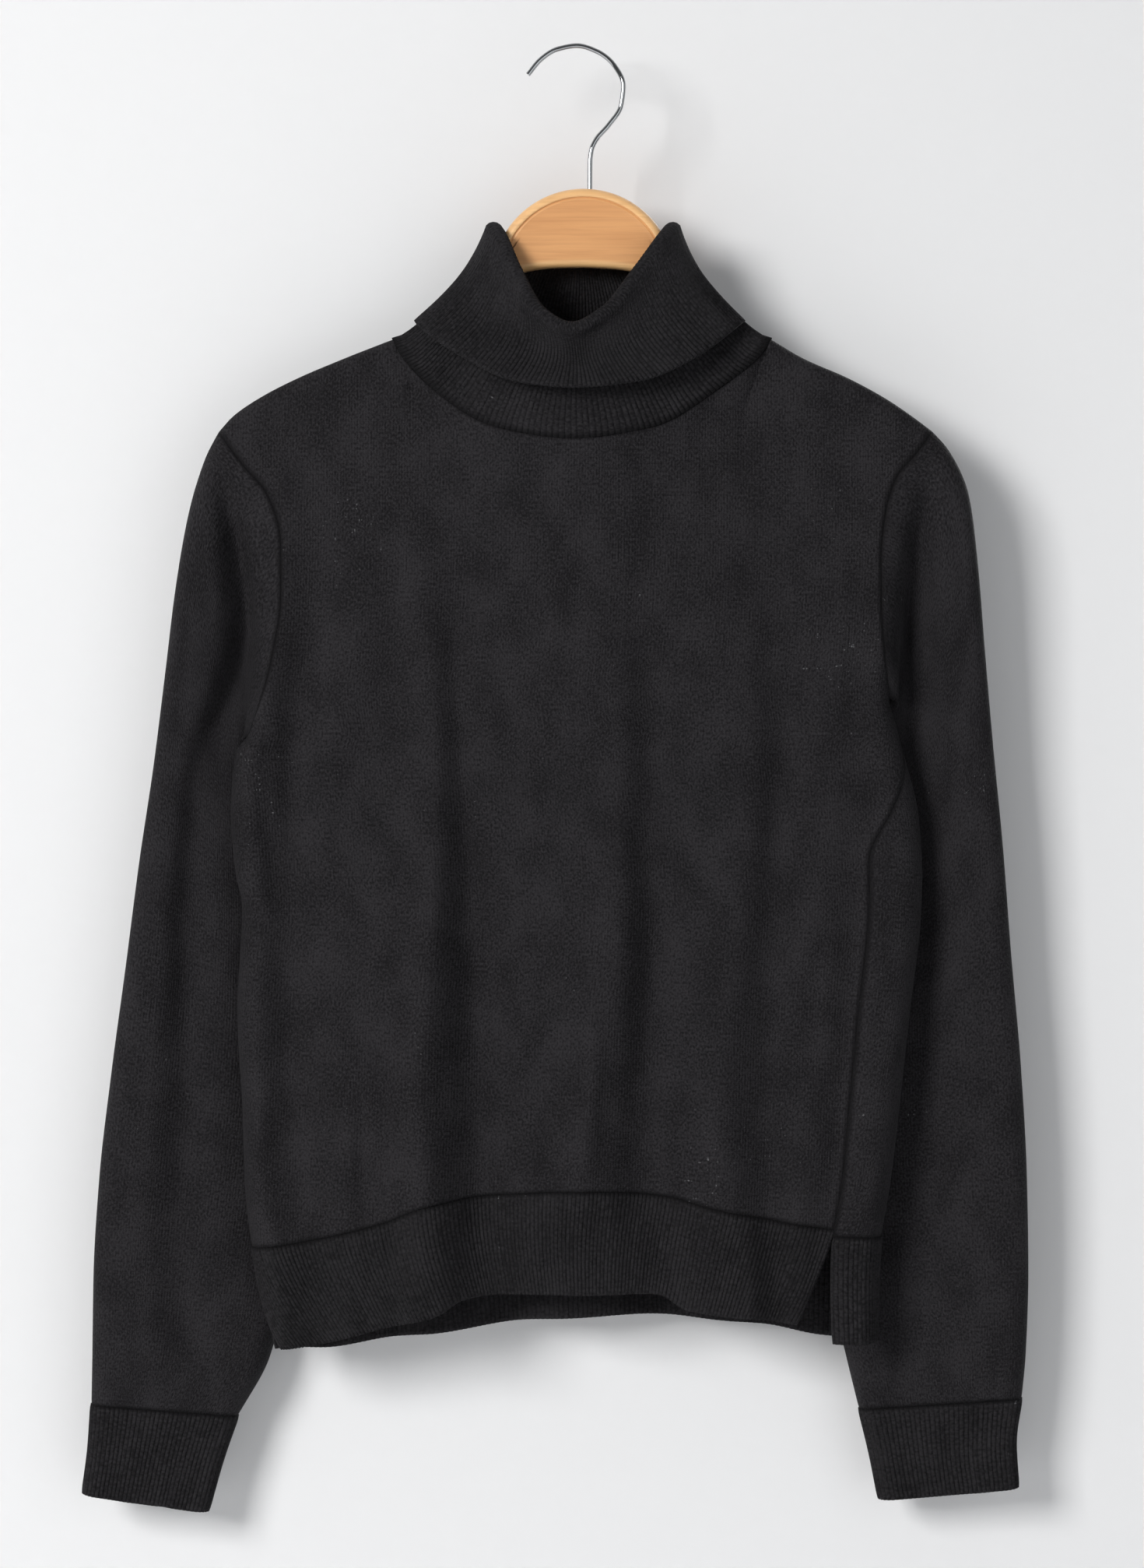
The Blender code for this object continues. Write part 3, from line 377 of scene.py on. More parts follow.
# Neckline seam, by the angle round the neck from the middle of the front. The right half and the
# left half differ, since the collar sits a little askew.
NECKLINE = table(
    "angle right left  y      z",
    (0, -3, -3, -25, -222),
    (30, 41, -45, -23, -216),
    (60, 80, -82, -16.5, -193.5),
    (80, 103, -99, -11.5, -174.5),
    (90, 109.5, -104.5, 0, -165.3),
    (100, 103, -99, 11.5, -170),
    (120, 80, -80, 15, -171),
    (150, 42, -42, 19, -173),
    (180, -1, -1, 20, -174),
)
ARMHOLE_ROWS = 60
SIDE_ROWS = 124
SHOULDER_COLUMNS = 26
NECK_COLUMNS = 50  # on each side of the middle
# Places along the armhole, closer together where the cloth bends over the hanger.
ARMHOLE_SPACING = (0, 0.006, 0.02, 0.045, 0.09, 0.17, 0.29, 0.43, 0.57, 0.71, 0.83, 0.93, 1)
armhole_steps = smooth(
    np.linspace(0, 1, ARMHOLE_ROWS + 1), np.linspace(0, 1, len(ARMHOLE_SPACING)), ARMHOLE_SPACING
)


def round_neck(of, left, right, angles):
    """A size of the neck at angles from -180 (left) to 180 (right), from columns for each half.

    The table's first and last row are in the middle, and the curve runs smoothly over both.
    """
    half = of["angle"]
    places = np.concatenate([half[-2:-1] - 360, -half[::-1], half[1:], 360 - half[-2:-1]])
    values = np.concatenate([of[right][-2:-1], of[left][::-1], of[right][1:], of[left][-2:-1]])
    return smooth(angles, places, values)


def neckline(angles):
    """x, y, z of the neckline seam at angles from -180 (left) to 180 (right)."""
    columns = (("left", "right"), ("y", "y"), ("z", "z"))
    return np.stack([round_neck(NECKLINE, left, right, angles) for left, right in columns], -1)


def top_edge(is_front):
    """Shoulder line, neckline, shoulder line: the top of the front or the back, left to right."""
    share = np.arange(1, SHOULDER_COLUMNS) / SHOULDER_COLUMNS
    ends = []
    for side in ("left", "right"):
        line = np.stack([SHOULDER[side], 0 * SHOULDER["z"], SHOULDER["z"]], -1)
        ends.append(np.vstack([line[:1], along(line, share), line[-1:]]))
    half = np.linspace(0, 90, NECK_COLUMNS + 1)
    half = half if is_front else 180 - half
    neck = neckline(np.concatenate([-half[::-1], half[1:]]))
    return np.vstack([ends[0][::-1][:-1], neck, ends[1][1:]])


def side_edge(side, is_front):
    """Down the armhole and the side seam: place round the ring and height, for each row."""
    armhole = ARMHOLE_LEFT if side < 0 else ARMHOLE_RIGHT
    upper = along(np.stack([armhole["x"], armhole["z"]], -1), armhole_steps)
    bottom_x = -181.0 if side < 0 else 141.0
    band_top = BAND_TOP_FRONT if is_front else BAND_TOP_BACK
    bottom_z = float(smooth(bottom_x, band_top["x"], band_top["z"]))
    z = upper[-1, 1] + (bottom_z - upper[-1, 1]) * np.arange(1, SIDE_ROWS + 1) / SIDE_ROWS
    p_upper = place_on_ring(upper[:, 0], upper[:, 1])
    middle, flat, bend = ring_sizes(z)
    inset = smooth(z, SIDE_SEAM["z"], SIDE_SEAM["left" if side < 0 else "right"])
    p_lower = side * (flat + bend + (-inset if is_front else inset))
    return np.concatenate([p_upper, p_lower]), np.concatenate([upper[:, 1], z])


def ring_point(p, z, is_front):
    """As body_point, but for the back p is from the middle of the back."""
    if is_front:
        return body_point(p, z)
    flat, bend = ring_sizes(z)[1:]
    return body_point(np.where(p < 0, -1, 1) * (2 * (flat + bend) - np.abs(p)), z)


def rumple(x, z, seed):
    """The slight, uneven rumpling of worn knit, at x, z in millimetres: waves of many directions."""
    draw = np.random.default_rng(seed)
    total = np.zeros(np.broadcast(x, z).shape)
    for wavelength in RUMPLE_WAVELENGTHS:
        for turn, start in draw.uniform(0, 2 * math.pi, (3, 2)):
            wave = (x * math.cos(turn) + z * math.sin(turn)) * 2 * math.pi / wavelength
            total += RUMPLE_STEEPNESS * wavelength * np.sin(wave + start)
    return total


def panel_grid(is_front):
    """Front or back: rows from the top edge to the band, columns from left to right."""
    sign = -1 if is_front else 1
    top = top_edge(is_front)
    left_p, left_z = side_edge(-1, is_front)
    right_p, right_z = side_edge(1, is_front)
    top_p = place_on_ring(top[:, 0], top[:, 2])
    u = ((top_p - top_p[0]) / (top_p[-1] - top_p[0]))[None, :]
    lower = np.arange(1, SIDE_ROWS + 1) / SIDE_ROWS
    v = np.concatenate([ARMHOLE_SHARE * armhole_steps, ARMHOLE_SHARE + (1 - ARMHOLE_SHARE) * lower])
    v = v[:, None]
    bottom_p = left_p[-1] + (right_p[-1] - left_p[-1]) * u[0]
    band_top = BAND_TOP_FRONT if is_front else BAND_TOP_BACK
    bottom_x = ring_point(bottom_p, np.full_like(bottom_p, BAND_TOP_Z), is_front)[:, 0]
    bottom_z = smooth(bottom_x, band_top["x"], band_top["z"])
    left_z[-1], right_z[-1] = bottom_z[0], bottom_z[-1]

    def patch(top_line, bottom_line, left_line, right_line):
        corners = (
            (1 - u) * (1 - v) * top_line[0]
            + u * (1 - v) * top_line[-1]
            + (1 - u) * v * bottom_line[0]
            + u * v * bottom_line[-1]
        )
        return (
            (1 - v) * top_line[None, :]
            + v * bottom_line[None, :]
            + (1 - u) * left_line[:, None]
            + u * right_line[:, None]
            - corners
        )

    p = patch(top_p, bottom_p, left_p, right_p)
    z = patch(top[:, 2], bottom_z, left_z, right_z)
    points = ring_point(p, z, is_front)
    below = top[None, :, 2] - points[..., 2]
    edge = np.clip(below / SHOULDER_ROUNDING, 0, 1)
    over_hanger = 1 - np.sqrt(1 - (1 - edge) ** 2)
    under_collar = np.exp(-np.maximum(below, 0) / COLLAR_PULL_REACH)
    missing = top[None, :, 1] - points[:1, :, 1]
    held_out = np.clip(sign * missing / COLLAR_PULL, 0, 1)
    held_out = held_out**2 * (3 - 2 * held_out)
    points[..., 1] += missing * (held_out * under_collar + (1 - held_out) * over_hanger)
    return points, p


def outward(grid, is_tube):
    """The unit normal at each point of a grid of points, along its right-handed side."""
    across = np.roll(grid, -1, 1) - np.roll(grid, 1, 1) if is_tube else np.gradient(grid, axis=1)
    normals = np.cross(np.gradient(grid, axis=0), across)
    return normals / np.maximum(np.linalg.norm(normals, axis=-1, keepdims=True), 1e-9)


def add_cloth(name, grid, wall, across, down, seams=(), is_tube=False):
    """A piece of cloth: its grid of points as an open surface with walls, from Solidify.

    across and down are each point's place in the flat cloth, in millimetres, for the knit to follow.
    Near the edges named in seams the cloth dips a little, and the knit is marked as seam, where the
    material paints shade.
    """
    if is_tube:  # the last column closes on the first, but has its own place in the flat cloth
        step = across[:, 1:2] - across[:, :1]
        across = np.hstack([across, across[:, -1:] + step])
        down = np.hstack([down, down[:, :1]])
    rows, columns = grid.shape[:2]
    from_edge = np.full((rows, columns), 1e9)
    lines = {
        "top": (down, np.s_[:1]),
        "bottom": (down, np.s_[-1:]),
        "left": (across, np.s_[:, :1]),
        "right": (across, np.s_[:, -1:]),
    }
    for edge in seams:
        run, line = lines[edge]
        from_edge = np.minimum(from_edge, np.abs(run - run[line])[:, :columns])
    seam = np.exp(-((from_edge / SEAM_REACH) ** 2))
    grid = grid - SEAM_DIP * seam[..., None] * outward(grid, is_tube)

    faces, corners = [], []
    wide = across.shape[1]
    for row in range(rows - 1):
        for left in range(wide - 1):
            right = (left + 1) % columns
            faces.append(
                (
                    row * columns + left,
                    (row + 1) * columns + left,
                    (row + 1) * columns + right,
                    row * columns + right,
                )
            )
            corners += [
                row * wide + left,
                (row + 1) * wide + left,
                (row + 1) * wide + left + 1,
                row * wide + left + 1,
            ]
    mesh = bpy.data.meshes.new(name)
    mesh.from_pydata((grid.reshape(-1, 3) * MM).tolist(), [], faces)
    mesh.shade_smooth()
    flat = np.stack([across, down], -1).reshape(-1, 2)[corners] * MM
    mesh.uv_layers.new(name="cloth").data.foreach_set("uv", flat.reshape(-1).astype(np.float32))
    marks = mesh.attributes.new("seam", "FLOAT", "POINT").data
    marks.foreach_set("value", seam.reshape(-1).astype(np.float32))
    made = bpy.data.objects.new(name, mesh)
    bpy.context.scene.collection.objects.link(made)
    walls = made.modifiers.new("walls", "SOLIDIFY")
    walls.thickness = wall * MM
    walls.offset = 0.0
    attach(made, "root")
    return made


def knit_group():
    """Plain knit: columns of small V stitches, a tone partly painted as shade in its hollows, and a few
    pale loose fibres.
    """
    group = bpy.data.node_groups.new("plain_knit", "ShaderNodeTree")
    socket = group.interface.new_socket
    socket("Wales per m", in_out="INPUT", socket_type="NodeSocketFloat")
    socket("Courses per m", in_out="INPUT", socket_type="NodeSocketFloat")
    socket("Stitch Height", in_out="OUTPUT", socket_type="NodeSocketFloat")
    socket("Tone and Shade", in_out="OUTPUT", socket_type="NodeSocketFloat")
    socket("Lint", in_out="OUTPUT", socket_type="NodeSocketFloat")
    nodes, link = group.nodes, group.links.new
    given, result = nodes.new("NodeGroupInput"), nodes.new("NodeGroupOutput")
    place, split = nodes.new("ShaderNodeUVMap"), nodes.new("ShaderNodeSeparateXYZ")
    place.uv_map = "cloth"
    link(place.outputs["UV"], split.inputs[0])

    def maths(operation, first, second=0.0):
        node = nodes.new("ShaderNodeMath")
        node.operation = operation
        for socket_in, value in zip(node.inputs, (first, second)):
            if isinstance(value, (int, float)):
                socket_in.default_value = value
            else:
                link(value, socket_in)
        return node.outputs[0]

    wale = maths("MULTIPLY", split.outputs["X"], given.outputs["Wales per m"])
    course = maths("MULTIPLY", split.outputs["Y"], given.outputs["Courses per m"])
    leg = maths("PINGPONG", wale, 0.5)  # 0 between two wales, 0.5 in the middle of one
    round_wale = maths("SINE", maths("MULTIPLY", leg, math.pi))
    slanted = maths("ADD", course, leg)
    loops = maths("SINE", maths("MULTIPLY", slanted, 2 * math.pi))
    loops = maths("MULTIPLY_ADD", loops, 0.25)
    loops.node.inputs[2].default_value = 0.75
    stitches = maths("MULTIPLY", round_wale, loops)

    def noise(scale, detail, stretch):
        where = nodes.new("ShaderNodeMapping")
        where.inputs["Scale"].default_value = stretch
        link(place.outputs["UV"], where.inputs["Vector"])
        made = nodes.new("ShaderNodeTexNoise")
        made.inputs["Scale"].default_value = scale
        made.inputs["Detail"].default_value = detail
        link(where.outputs[0], made.inputs["Vector"])
        return made.outputs[0]

    fuzz = noise(680.0, 2.0, (1.3, 1.0, 1.0))
    link(maths("ADD", stitches, maths("MULTIPLY", fuzz, 1.6)), result.inputs["Stitch Height"])
    # The tone mask: a broad uneven tone plus the fuzz that also raises the stitches' bump, so its dark end
    # is painted shade in the fuzz's hollows.
    broad = maths("MULTIPLY", noise(28.0, 4.0, (1.6, 1.0, 1.0)), 0.3)
    link(maths("ADD", broad, maths("MULTIPLY", fuzz, 0.7)), result.inputs["Tone and Shade"])
    fibres = maths("MULTIPLY", noise(150.0, 1.0, (1.0, 4.0, 1.0)), noise(170.0, 1.0, (5.0, 1.0, 1.0)))
    fibres = maths("MULTIPLY", fibres, noise(9.0, 1.0, (1.0, 1.0, 1.0)))
    fibre = nodes.new("ShaderNodeMapRange")
    fibre.inputs["From Min"].default_value = 0.285
    fibre.inputs["From Max"].default_value = 0.32
    link(fibres, fibre.inputs["Value"])
    link(fibre.outputs[0], result.inputs["Lint"])
    return group


def knit_material(name, dark, light, roughness, stitch_depth):
    """Black yarn whose colour runs from dark to light by an uneven tone and by painted shade, darker in the
    fuzz's hollows.
    """
    made = bpy.data.materials.new(name)
    made.use_nodes = True
    nodes, link = made.node_tree.nodes, made.node_tree.links.new
    yarn = nodes["Principled BSDF"]
    yarn.inputs["Roughness"].default_value = roughness
    yarn.inputs["Specular IOR Level"].default_value = 0.12
    yarn.inputs["Sheen Weight"].default_value = SHEEN
    yarn.inputs["Sheen Roughness"].default_value = 0.45
    yarn.inputs["Sheen Tint"].default_value = (0.80, 0.79, 0.83, 1)
    knit = nodes.new("ShaderNodeGroup")
    knit.node_tree = knit_pattern
    knit.inputs["Wales per m"].default_value = WALES_PER_M
    knit.inputs["Courses per m"].default_value = COURSES_PER_M
    # Painted shade: the colour darkens where the fuzz is low, besides an uneven tone.
    tone_and_shade = nodes.new("ShaderNodeMapRange")
    tone_and_shade.inputs["From Min"].default_value = 0.40
    tone_and_shade.inputs["From Max"].default_value = 0.60
    link(knit.outputs["Tone and Shade"], tone_and_shade.inputs["Value"])
    colour = nodes.new("ShaderNodeMix")
    colour.data_type = "RGBA"
    colour.inputs["A"].default_value = (*dark, 1)
    colour.inputs["B"].default_value = (*light, 1)
    link(tone_and_shade.outputs[0], colour.inputs["Factor"])
    # Painted shade along the seams: the colour darkens where the seam mark is.
    seam = nodes.new("ShaderNodeAttribute")
    seam.attribute_name = "seam"
    seam_shading = nodes.new("ShaderNodeMix")
    seam_shading.data_type = "RGBA"
    seam_shading.inputs["B"].default_value = (*(SEAM_SHADE * value for value in dark), 1)
    link(seam.outputs["Fac"], seam_shading.inputs["Factor"])
    link(colour.outputs["Result"], seam_shading.inputs["A"])
    specks = nodes.new("ShaderNodeMix")
    specks.data_type = "RGBA"
    specks.inputs["B"].default_value = (0.10, 0.10, 0.105, 1)
    link(knit.outputs["Lint"], specks.inputs["Factor"])
    link(seam_shading.outputs["Result"], specks.inputs["A"])
    link(specks.outputs["Result"], yarn.inputs["Base Color"])
    bump = nodes.new("ShaderNodeBump")
    bump.inputs["Distance"].default_value = stitch_depth * MM
    bump.inputs["Strength"].default_value = 0.6
    link(knit.outputs["Stitch Height"], bump.inputs["Height"])
    link(bump.outputs[0], yarn.inputs["Normal"])
    return made


RUMPLE_WAVELENGTHS = (6, 9, 13, 19, 28)
RUMPLE_STEEPNESS = 0.0024
SEAM_DIP = 0.16
SEAM_REACH = 1.2
# how dark the painted shade along the seams is, as a share of the dark knit colour
SEAM_SHADE = 0.75
SHEEN = 0.02
WALES_PER_M = 640
COURSES_PER_M = 900
knit_pattern = knit_group()
# Knit colours: the darker one is painted shade in the fuzz's hollows, the lighter one the lit yarn.
shaded_stitch, lit_stitch = (0.0065, 0.0060, 0.0069), (0.0230, 0.0217, 0.0240)
plain_knit = knit_material("black plain knit", shaded_stitch, lit_stitch, 0.85, 0.35)

panels = {}
# Each panel: its name, whether it is the front, its flat size and area, and its rumples' seed.
PANELS = (
    ("front", True, (0.42, 0.50), 0.180, 3),
    ("back", False, (0.44, 0.52), 0.190, 4),
)
for name, is_front, cut, cut_area, seed in PANELS:
    grid, ring_place = panel_grid(is_front)
    rumpled = rumple(ring_place, grid[..., 2], seed)
    grid[1:-1, 1:-1, 1] -= rumpled[1:-1, 1:-1] * (1 if is_front else -1)
    panels[name] = grid
    if not is_front:  # its columns run right to left, so that its outside faces the back
        grid, ring_place = grid[:, ::-1], ring_place[:, ::-1]
    edges = ("top", "bottom", "left", "right")
    panel = add_cloth(f"{name}_panel", grid, JERSEY_WALL, ring_place, -grid[..., 2], edges)
    panel.data.materials.append(plain_knit)
    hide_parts(name)

# ---------------------------------------------------------------------------------------------
# Sleeves. Each is one piece of the same plain knit, closed under the arm and set into the armhole.
# They hang straight down just behind the sides, flattened, with a few slack folds.
# ---------------------------------------------------------------------------------------------

# Sleeves: sections from the armhole to the cuff. Each runs from the outer edge to the inner edge,
# and it hangs a little behind the body. "follow" is how much it still follows the armhole's shape.
SLEEVE_COLUMNS = "outer_x outer_y outer_z inner_x inner_y inner_z half follow"
SLEEVE_LEFT = table(
    SLEEVE_COLUMNS,
    (-209.5, 0.0, -231.5, -190.5, 11.0, -390.5, 11.5, 0.62),
    (-219.0, 1.0, -262.0, -186.0, 23.0, -399, 12.0, 0.30),
    (-226.8, 3.0, -305.0, -178.0, 28.0, -413, 12.0, 0.10),
    (-232.8, 6.0, -352.0, -170.0, 31.0, -436, 11.5, 0.0),
    (-239.8, 9.0, -405.0, -165.0, 32.0, -470, 11.0, 0.0),
    (-248.2, 11.0, -460.0, -157.0, 33.0, -508, 11.0, 0.0),
    (-256.2, 13.0, -520.0, -152.0, 34.0, -552, 11.0, 0.0),
    (-264.4, 14.0, -580.0, -152.0, 34.0, -600, 11.0, 0.0),
    (-271.4, 15.0, -640.0, -157.0, 33.0, -648, 11.0, 0.0),
    (-274.8, 16.0, -695.0, -166.0, 31.0, -698, 11.0, 0.0),
    (-275.6, 17.0, -742.0, -177.0, 28.0, -744, 10.5, 0.0),
    (-276.2, 18.0, -768.5, -194.5, 25.0, -776, 9.5, 0.0),
)
SLEEVE_RIGHT = table(
    SLEEVE_COLUMNS,
    (209.5, 0.0, -228.0, 182.0, 12.0, -371.0, 11.5, 0.62),
    (220.5, 1.0, -252.0, 175.0, 23.5, -379, 12.0, 0.30),
    (226.0, 3.0, -292.0, 171.5, 28.0, -394, 12.0, 0.10),
    (230.0, 6.0, -338.0, 166.0, 31.0, -420, 11.5, 0.0),
    (235.0, 9.0, -392.0, 163.0, 32.0, -456, 11.0, 0.0),
    (241.0, 11.0, -452.0, 151.0, 33.0, -500, 11.0, 0.0),
    (246.0, 13.0, -514.0, 142.0, 34.0, -548, 11.0, 0.0),
    (251.5, 14.0, -576.0, 138.0, 34.0, -597, 11.0, 0.0),
    (255.0, 15.0, -638.0, 138.0, 33.0, -646, 11.0, 0.0),
    (256.0, 16.0, -694.0, 144.0, 31.0, -697, 11.0, 0.0),
    (254.6, 17.0, -740.0, 154.5, 28.0, -743, 10.5, 0.0),
    (252.4, 18.0, -765.0, 161.5, 25.0, -772, 9.5, 0.0),
)
# The sleeves' folds are lines of the same kind, at these heights.
SLEEVE_LEVELS = (-262, -330, -420, -560, -700)
SLEEVE_LEFT_FOLDS = table(
    FOLD_COLUMNS,
    (-224, -233, -246, -266, -277, 0.0, 0.0, 0.0, 0.0, 0.0),
    (-207, -206, -228, -240, -245, 1.0, 2.0, 3.0, 3.0, 3.0),
    (-197, -188, -216, -222, -225, -9.0, -13.0, -2.0, -2.0, -2.0),
    (-180, -174, -196, -200, -205, 0.0, 0.0, 1.0, 1.0, 1.0),
)
SLEEVE_RIGHT_FOLDS = table(
    FOLD_COLUMNS,
    (182, 176, 180, 178, 175, 0.0, 0.0, -4.0, -4.0, -2.0),
    (196, 188, 194, 196, 196, -7.0, -13.0, -5.0, -5.0, -3.0),
    (207, 212, 217, 222, 225, 1.0, 2.0, 3.0, 3.0, 3.0),
    (222, 231, 240, 250, 257, 0.0, 0.0, 0.0, 0.0, 0.0),
)
SLEEVE_LEFT_CREASES = (
    (-5.0, 8, 7, (-197, -250), (-190, -276), (-186, -303), (-183, -340), (-182, -372)),
    (-1.8, 8, 9, (-211, -368), (-219, -413), (-223, -500), (-223, -589), (-226, -633), (-232, -677)),
    (-2.4, 3.5, 4, (-270, -736), (-265, -755), (-258, -768)),
    (-1.5, 3.5, 4, (-205, -750), (-209, -762), (-208, -775)),
    (-1.3, 5, 5, (-252, -632), (-257, -655), (-261, -675)),
    (-0.8, 2.2, 2.2, (-262, -511), (-220, -512), (-160, -513)),
    (-0.8, 2.2, 2.2, (-278, -727), (-230, -728), (-172, -727)),
    (1.6, 7, 8, (-240, -420), (-248, -520), (-256, -620), (-262, -700)),
    (-1.5, 5, 6, (-190, -470), (-186, -540), (-190, -610)),
    (1.2, 6, 6, (-176, -520), (-172, -580), (-178, -650)),
    (-1.6, 5, 5, (-226, -270), (-216, -300), (-208, -318)),
    (-1.0, 4, 5, (-234, -372), (-222, -384), (-208, -392)),
)
SLEEVE_RIGHT_CREASES = (
    (-5.5, 7, 7, (190, -252), (186, -300), (182, -325), (176, -366)),
    (-1.8, 5, 4, (222, -272), (217, -289), (222, -305)),
    (-1.8, 8, 8, (206, -372), (212, -430), (220, -520), (222, -600), (228, -680)),
    (-2.4, 3.5, 4, (182, -732), (182, -757), (175, -770)),
    (-1.6, 3.5, 4, (236, -742), (238, -756), (232, -768)),
    (-0.8, 2.2, 2.2, (142, -520), (190, -519), (246, -518)),
    (-0.8, 2.2, 2.2, (146, -722), (200, -722), (256, -721)),
    (1.6, 7, 7, (232, -420), (238, -520), (244, -620), (248, -700)),
    (-1.4, 5, 6, (178, -480), (166, -560), (168, -640)),
    (-1.5, 5, 5, (228, -320), (216, -340), (204, -350)),
    (-1.0, 4, 5, (230, -384), (218, -396), (204, -402)),
)
SLEEVE_BACK_CREASES = (
    (-2.0, 7, 8, (0.30, -300), (0.36, -420), (0.34, -540)),
    (1.6, 8, 8, (0.60, -340), (0.56, -460), (0.62, -620)),
    (-1.6, 6, 6, (0.45, -560), (0.50, -640), (0.46, -730)),
    (-1.4, 4, 4, (0.20, -500), (0.45, -508), (0.75, -500)),
)
SLEEVE_ROWS = 190


def section_point(row, fraction, side):
    """A flattened section's point, this share of the way from its outer to its inner edge."""
    outer = np.array([row["outer_x"], row["outer_y"], row["outer_z"]])
    inner = np.array([row["inner_x"], row["inner_y"], row["inner_z"]])
    width, half = np.linalg.norm(inner - outer), row["half"]
    bend = math.pi / 2 * half
    length = width - 2 * half + 2 * bend
    run = np.minimum(fraction, 1 - fraction) * length
    turn = np.minimum(run / bend, 1) * math.pi / 2
    across = half * (1 - np.cos(turn)) + np.maximum(run - bend, 0)
    across = np.where(fraction <= 0.5, across, width - across)
    points = outer + (inner - outer) * (across / width)[:, None]
    points[:, 1] += side * half * np.sin(turn)
    return points


def tube_rings(sections, steps, armhole=None):
    """The named sections as rings of points: down the front from the outer edge, up the back."""
    rings = [armhole] if armhole is not None else []
    for k in range(len(sections["half"])):
        row = {name: values[k] for name, values in sections.items()}
        front, back = section_point(row, steps, -1), section_point(row, steps, 1)
        ring = np.vstack([front, back[::-1][1:-1]])
        if armhole is not None and row["follow"] > 0:
            ends = {"half": 0.01}
            for name, point in (("outer", armhole[0]), ("inner", armhole[len(steps) - 1])):
                ends.update({f"{name}_{c}": value for c, value in zip("xyz", point)})
            chord = section_point(ends, steps, -1)
            flat_ring = np.vstack([chord, chord[::-1][1:-1]])
            ring[:, [0, 2]] += row["follow"] * (armhole - flat_ring)[:, [0, 2]]
        rings.append(ring)
    return np.stack(rings)


def smooth_between(rings, count):
    """count rings spaced evenly along the tube, through the given ones."""
    steps = np.linalg.norm(np.diff(rings, axis=0), axis=-1).mean(1)
    run = np.concatenate([[0], np.cumsum(steps)])
    at = np.linspace(0, run[-1], count)
    lines = rings.reshape(len(rings), -1)
    return np.stack([smooth(at, run, line) for line in lines.T], -1).reshape(count, -1, 3)


def front_share(steps):
    """How much each point of a ring faces the front (first half) or the back (second half)."""
    count = len(steps)
    share = np.minimum(1, 4 * np.minimum(steps, 1 - steps))
    front = np.concatenate([share, np.zeros(count - 2)])
    back = np.concatenate([np.zeros(count), share[::-1][1:-1]])
    return front, back


def flat_places(grid):
    """Each point's place in the cloth laid flat: its distance round its row, and down its column."""
    round_row = np.linalg.norm(np.diff(grid, axis=1), axis=-1)
    round_row = np.hstack([np.zeros((len(grid), 1)), np.cumsum(round_row, 1)])
    middle = len(grid) // 2
    along_tube = np.linalg.norm(np.diff(grid, axis=0), axis=-1).mean(1)
    down = np.concatenate([[0], np.cumsum(along_tube)])[:, None] + 0 * round_row
    return np.repeat(round_row[middle : middle + 1], len(grid), 0), down


for side, edge, sections, folds, creases in (
    ("left", 0, SLEEVE_LEFT, SLEEVE_LEFT_FOLDS, SLEEVE_LEFT_CREASES),
    ("right", -1, SLEEVE_RIGHT, SLEEVE_RIGHT_FOLDS, SLEEVE_RIGHT_CREASES),
):
    count = len(armhole_steps)
    armhole = np.vstack([panels["front"][:count, edge], panels["back"][:count, edge][::-1][1:-1]])
    grid = smooth_between(tube_rings(sections, armhole_steps, armhole), SLEEVE_ROWS)
    x, z = grid[..., 0], grid[..., 2]
    front_facing, back_facing = front_share(armhole_steps)
    from_armhole = np.linalg.norm(grid - grid[:1], axis=-1)
    fade = np.clip(from_armhole / 25, 0, 1)
    to_cuff = np.linalg.norm(grid - grid[-1:], axis=-1)
    folded = fold_height(folds, SLEEVE_LEVELS, x, z) * np.clip(to_cuff / 45, 0, 1)
    rumpled = rumple(x, z, 5 if side == "left" else 6) * np.clip(to_cuff / 20, 0, 1)
    height = (folded + crease_height(creases, x, z) + rumpled) * fade
    grid[..., 1] -= height * front_facing
    low, high = x.min(1, keepdims=True), x.max(1, keepdims=True)
    spots = [
        (h, wide_left, wide_right, *[(220 * share, level) for share, level in points])
        for h, wide_left, wide_right, *points in SLEEVE_BACK_CREASES
    ]
    share = 220 * (x - low) / (high - low)
    grid[..., 1] += crease_height(spots, share if side == "left" else 220 - share, z) * fade * back_facing
    if side == "right":  # turned round, so that its outside faces out
        grid = np.roll(grid[:, ::-1], 1, 1)
    across, down = flat_places(grid)
    sleeve = add_cloth(f"sleeve_{side}_tube", grid, JERSEY_WALL, across, down, ("top", "bottom"), True)
    sleeve.data.materials.append(plain_knit)
    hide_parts(f"sleeve_{side}")

# ---------------------------------------------------------------------------------------------
# Collar. A tube of ribbed knit linked to the neckline. It stands up round the neck, rolls over at
# its rim and falls outside itself to a loose hem, which sags lowest in the middle of the front.
# ---------------------------------------------------------------------------------------------

RIB_WALL = 2.0
RIB_DEPTH = 0.55
RIB_PITCH = 2.4
# How deep the ribs are, from the seam (0) over the rim, where they are stretched, to the hem (1).
RIB_RELIEF = table(
    "share depth",
    (0.0, 1.0),
    (0.3, 0.7),
    (0.45, 0.4),
    (0.6, 0.2),
    (0.72, 0.4),
    (0.86, 1.0),
    (0.97, 1.0),
    (1.0, 0.8),
)  # how far the ribs stand out from the grooves, to either side of the middle
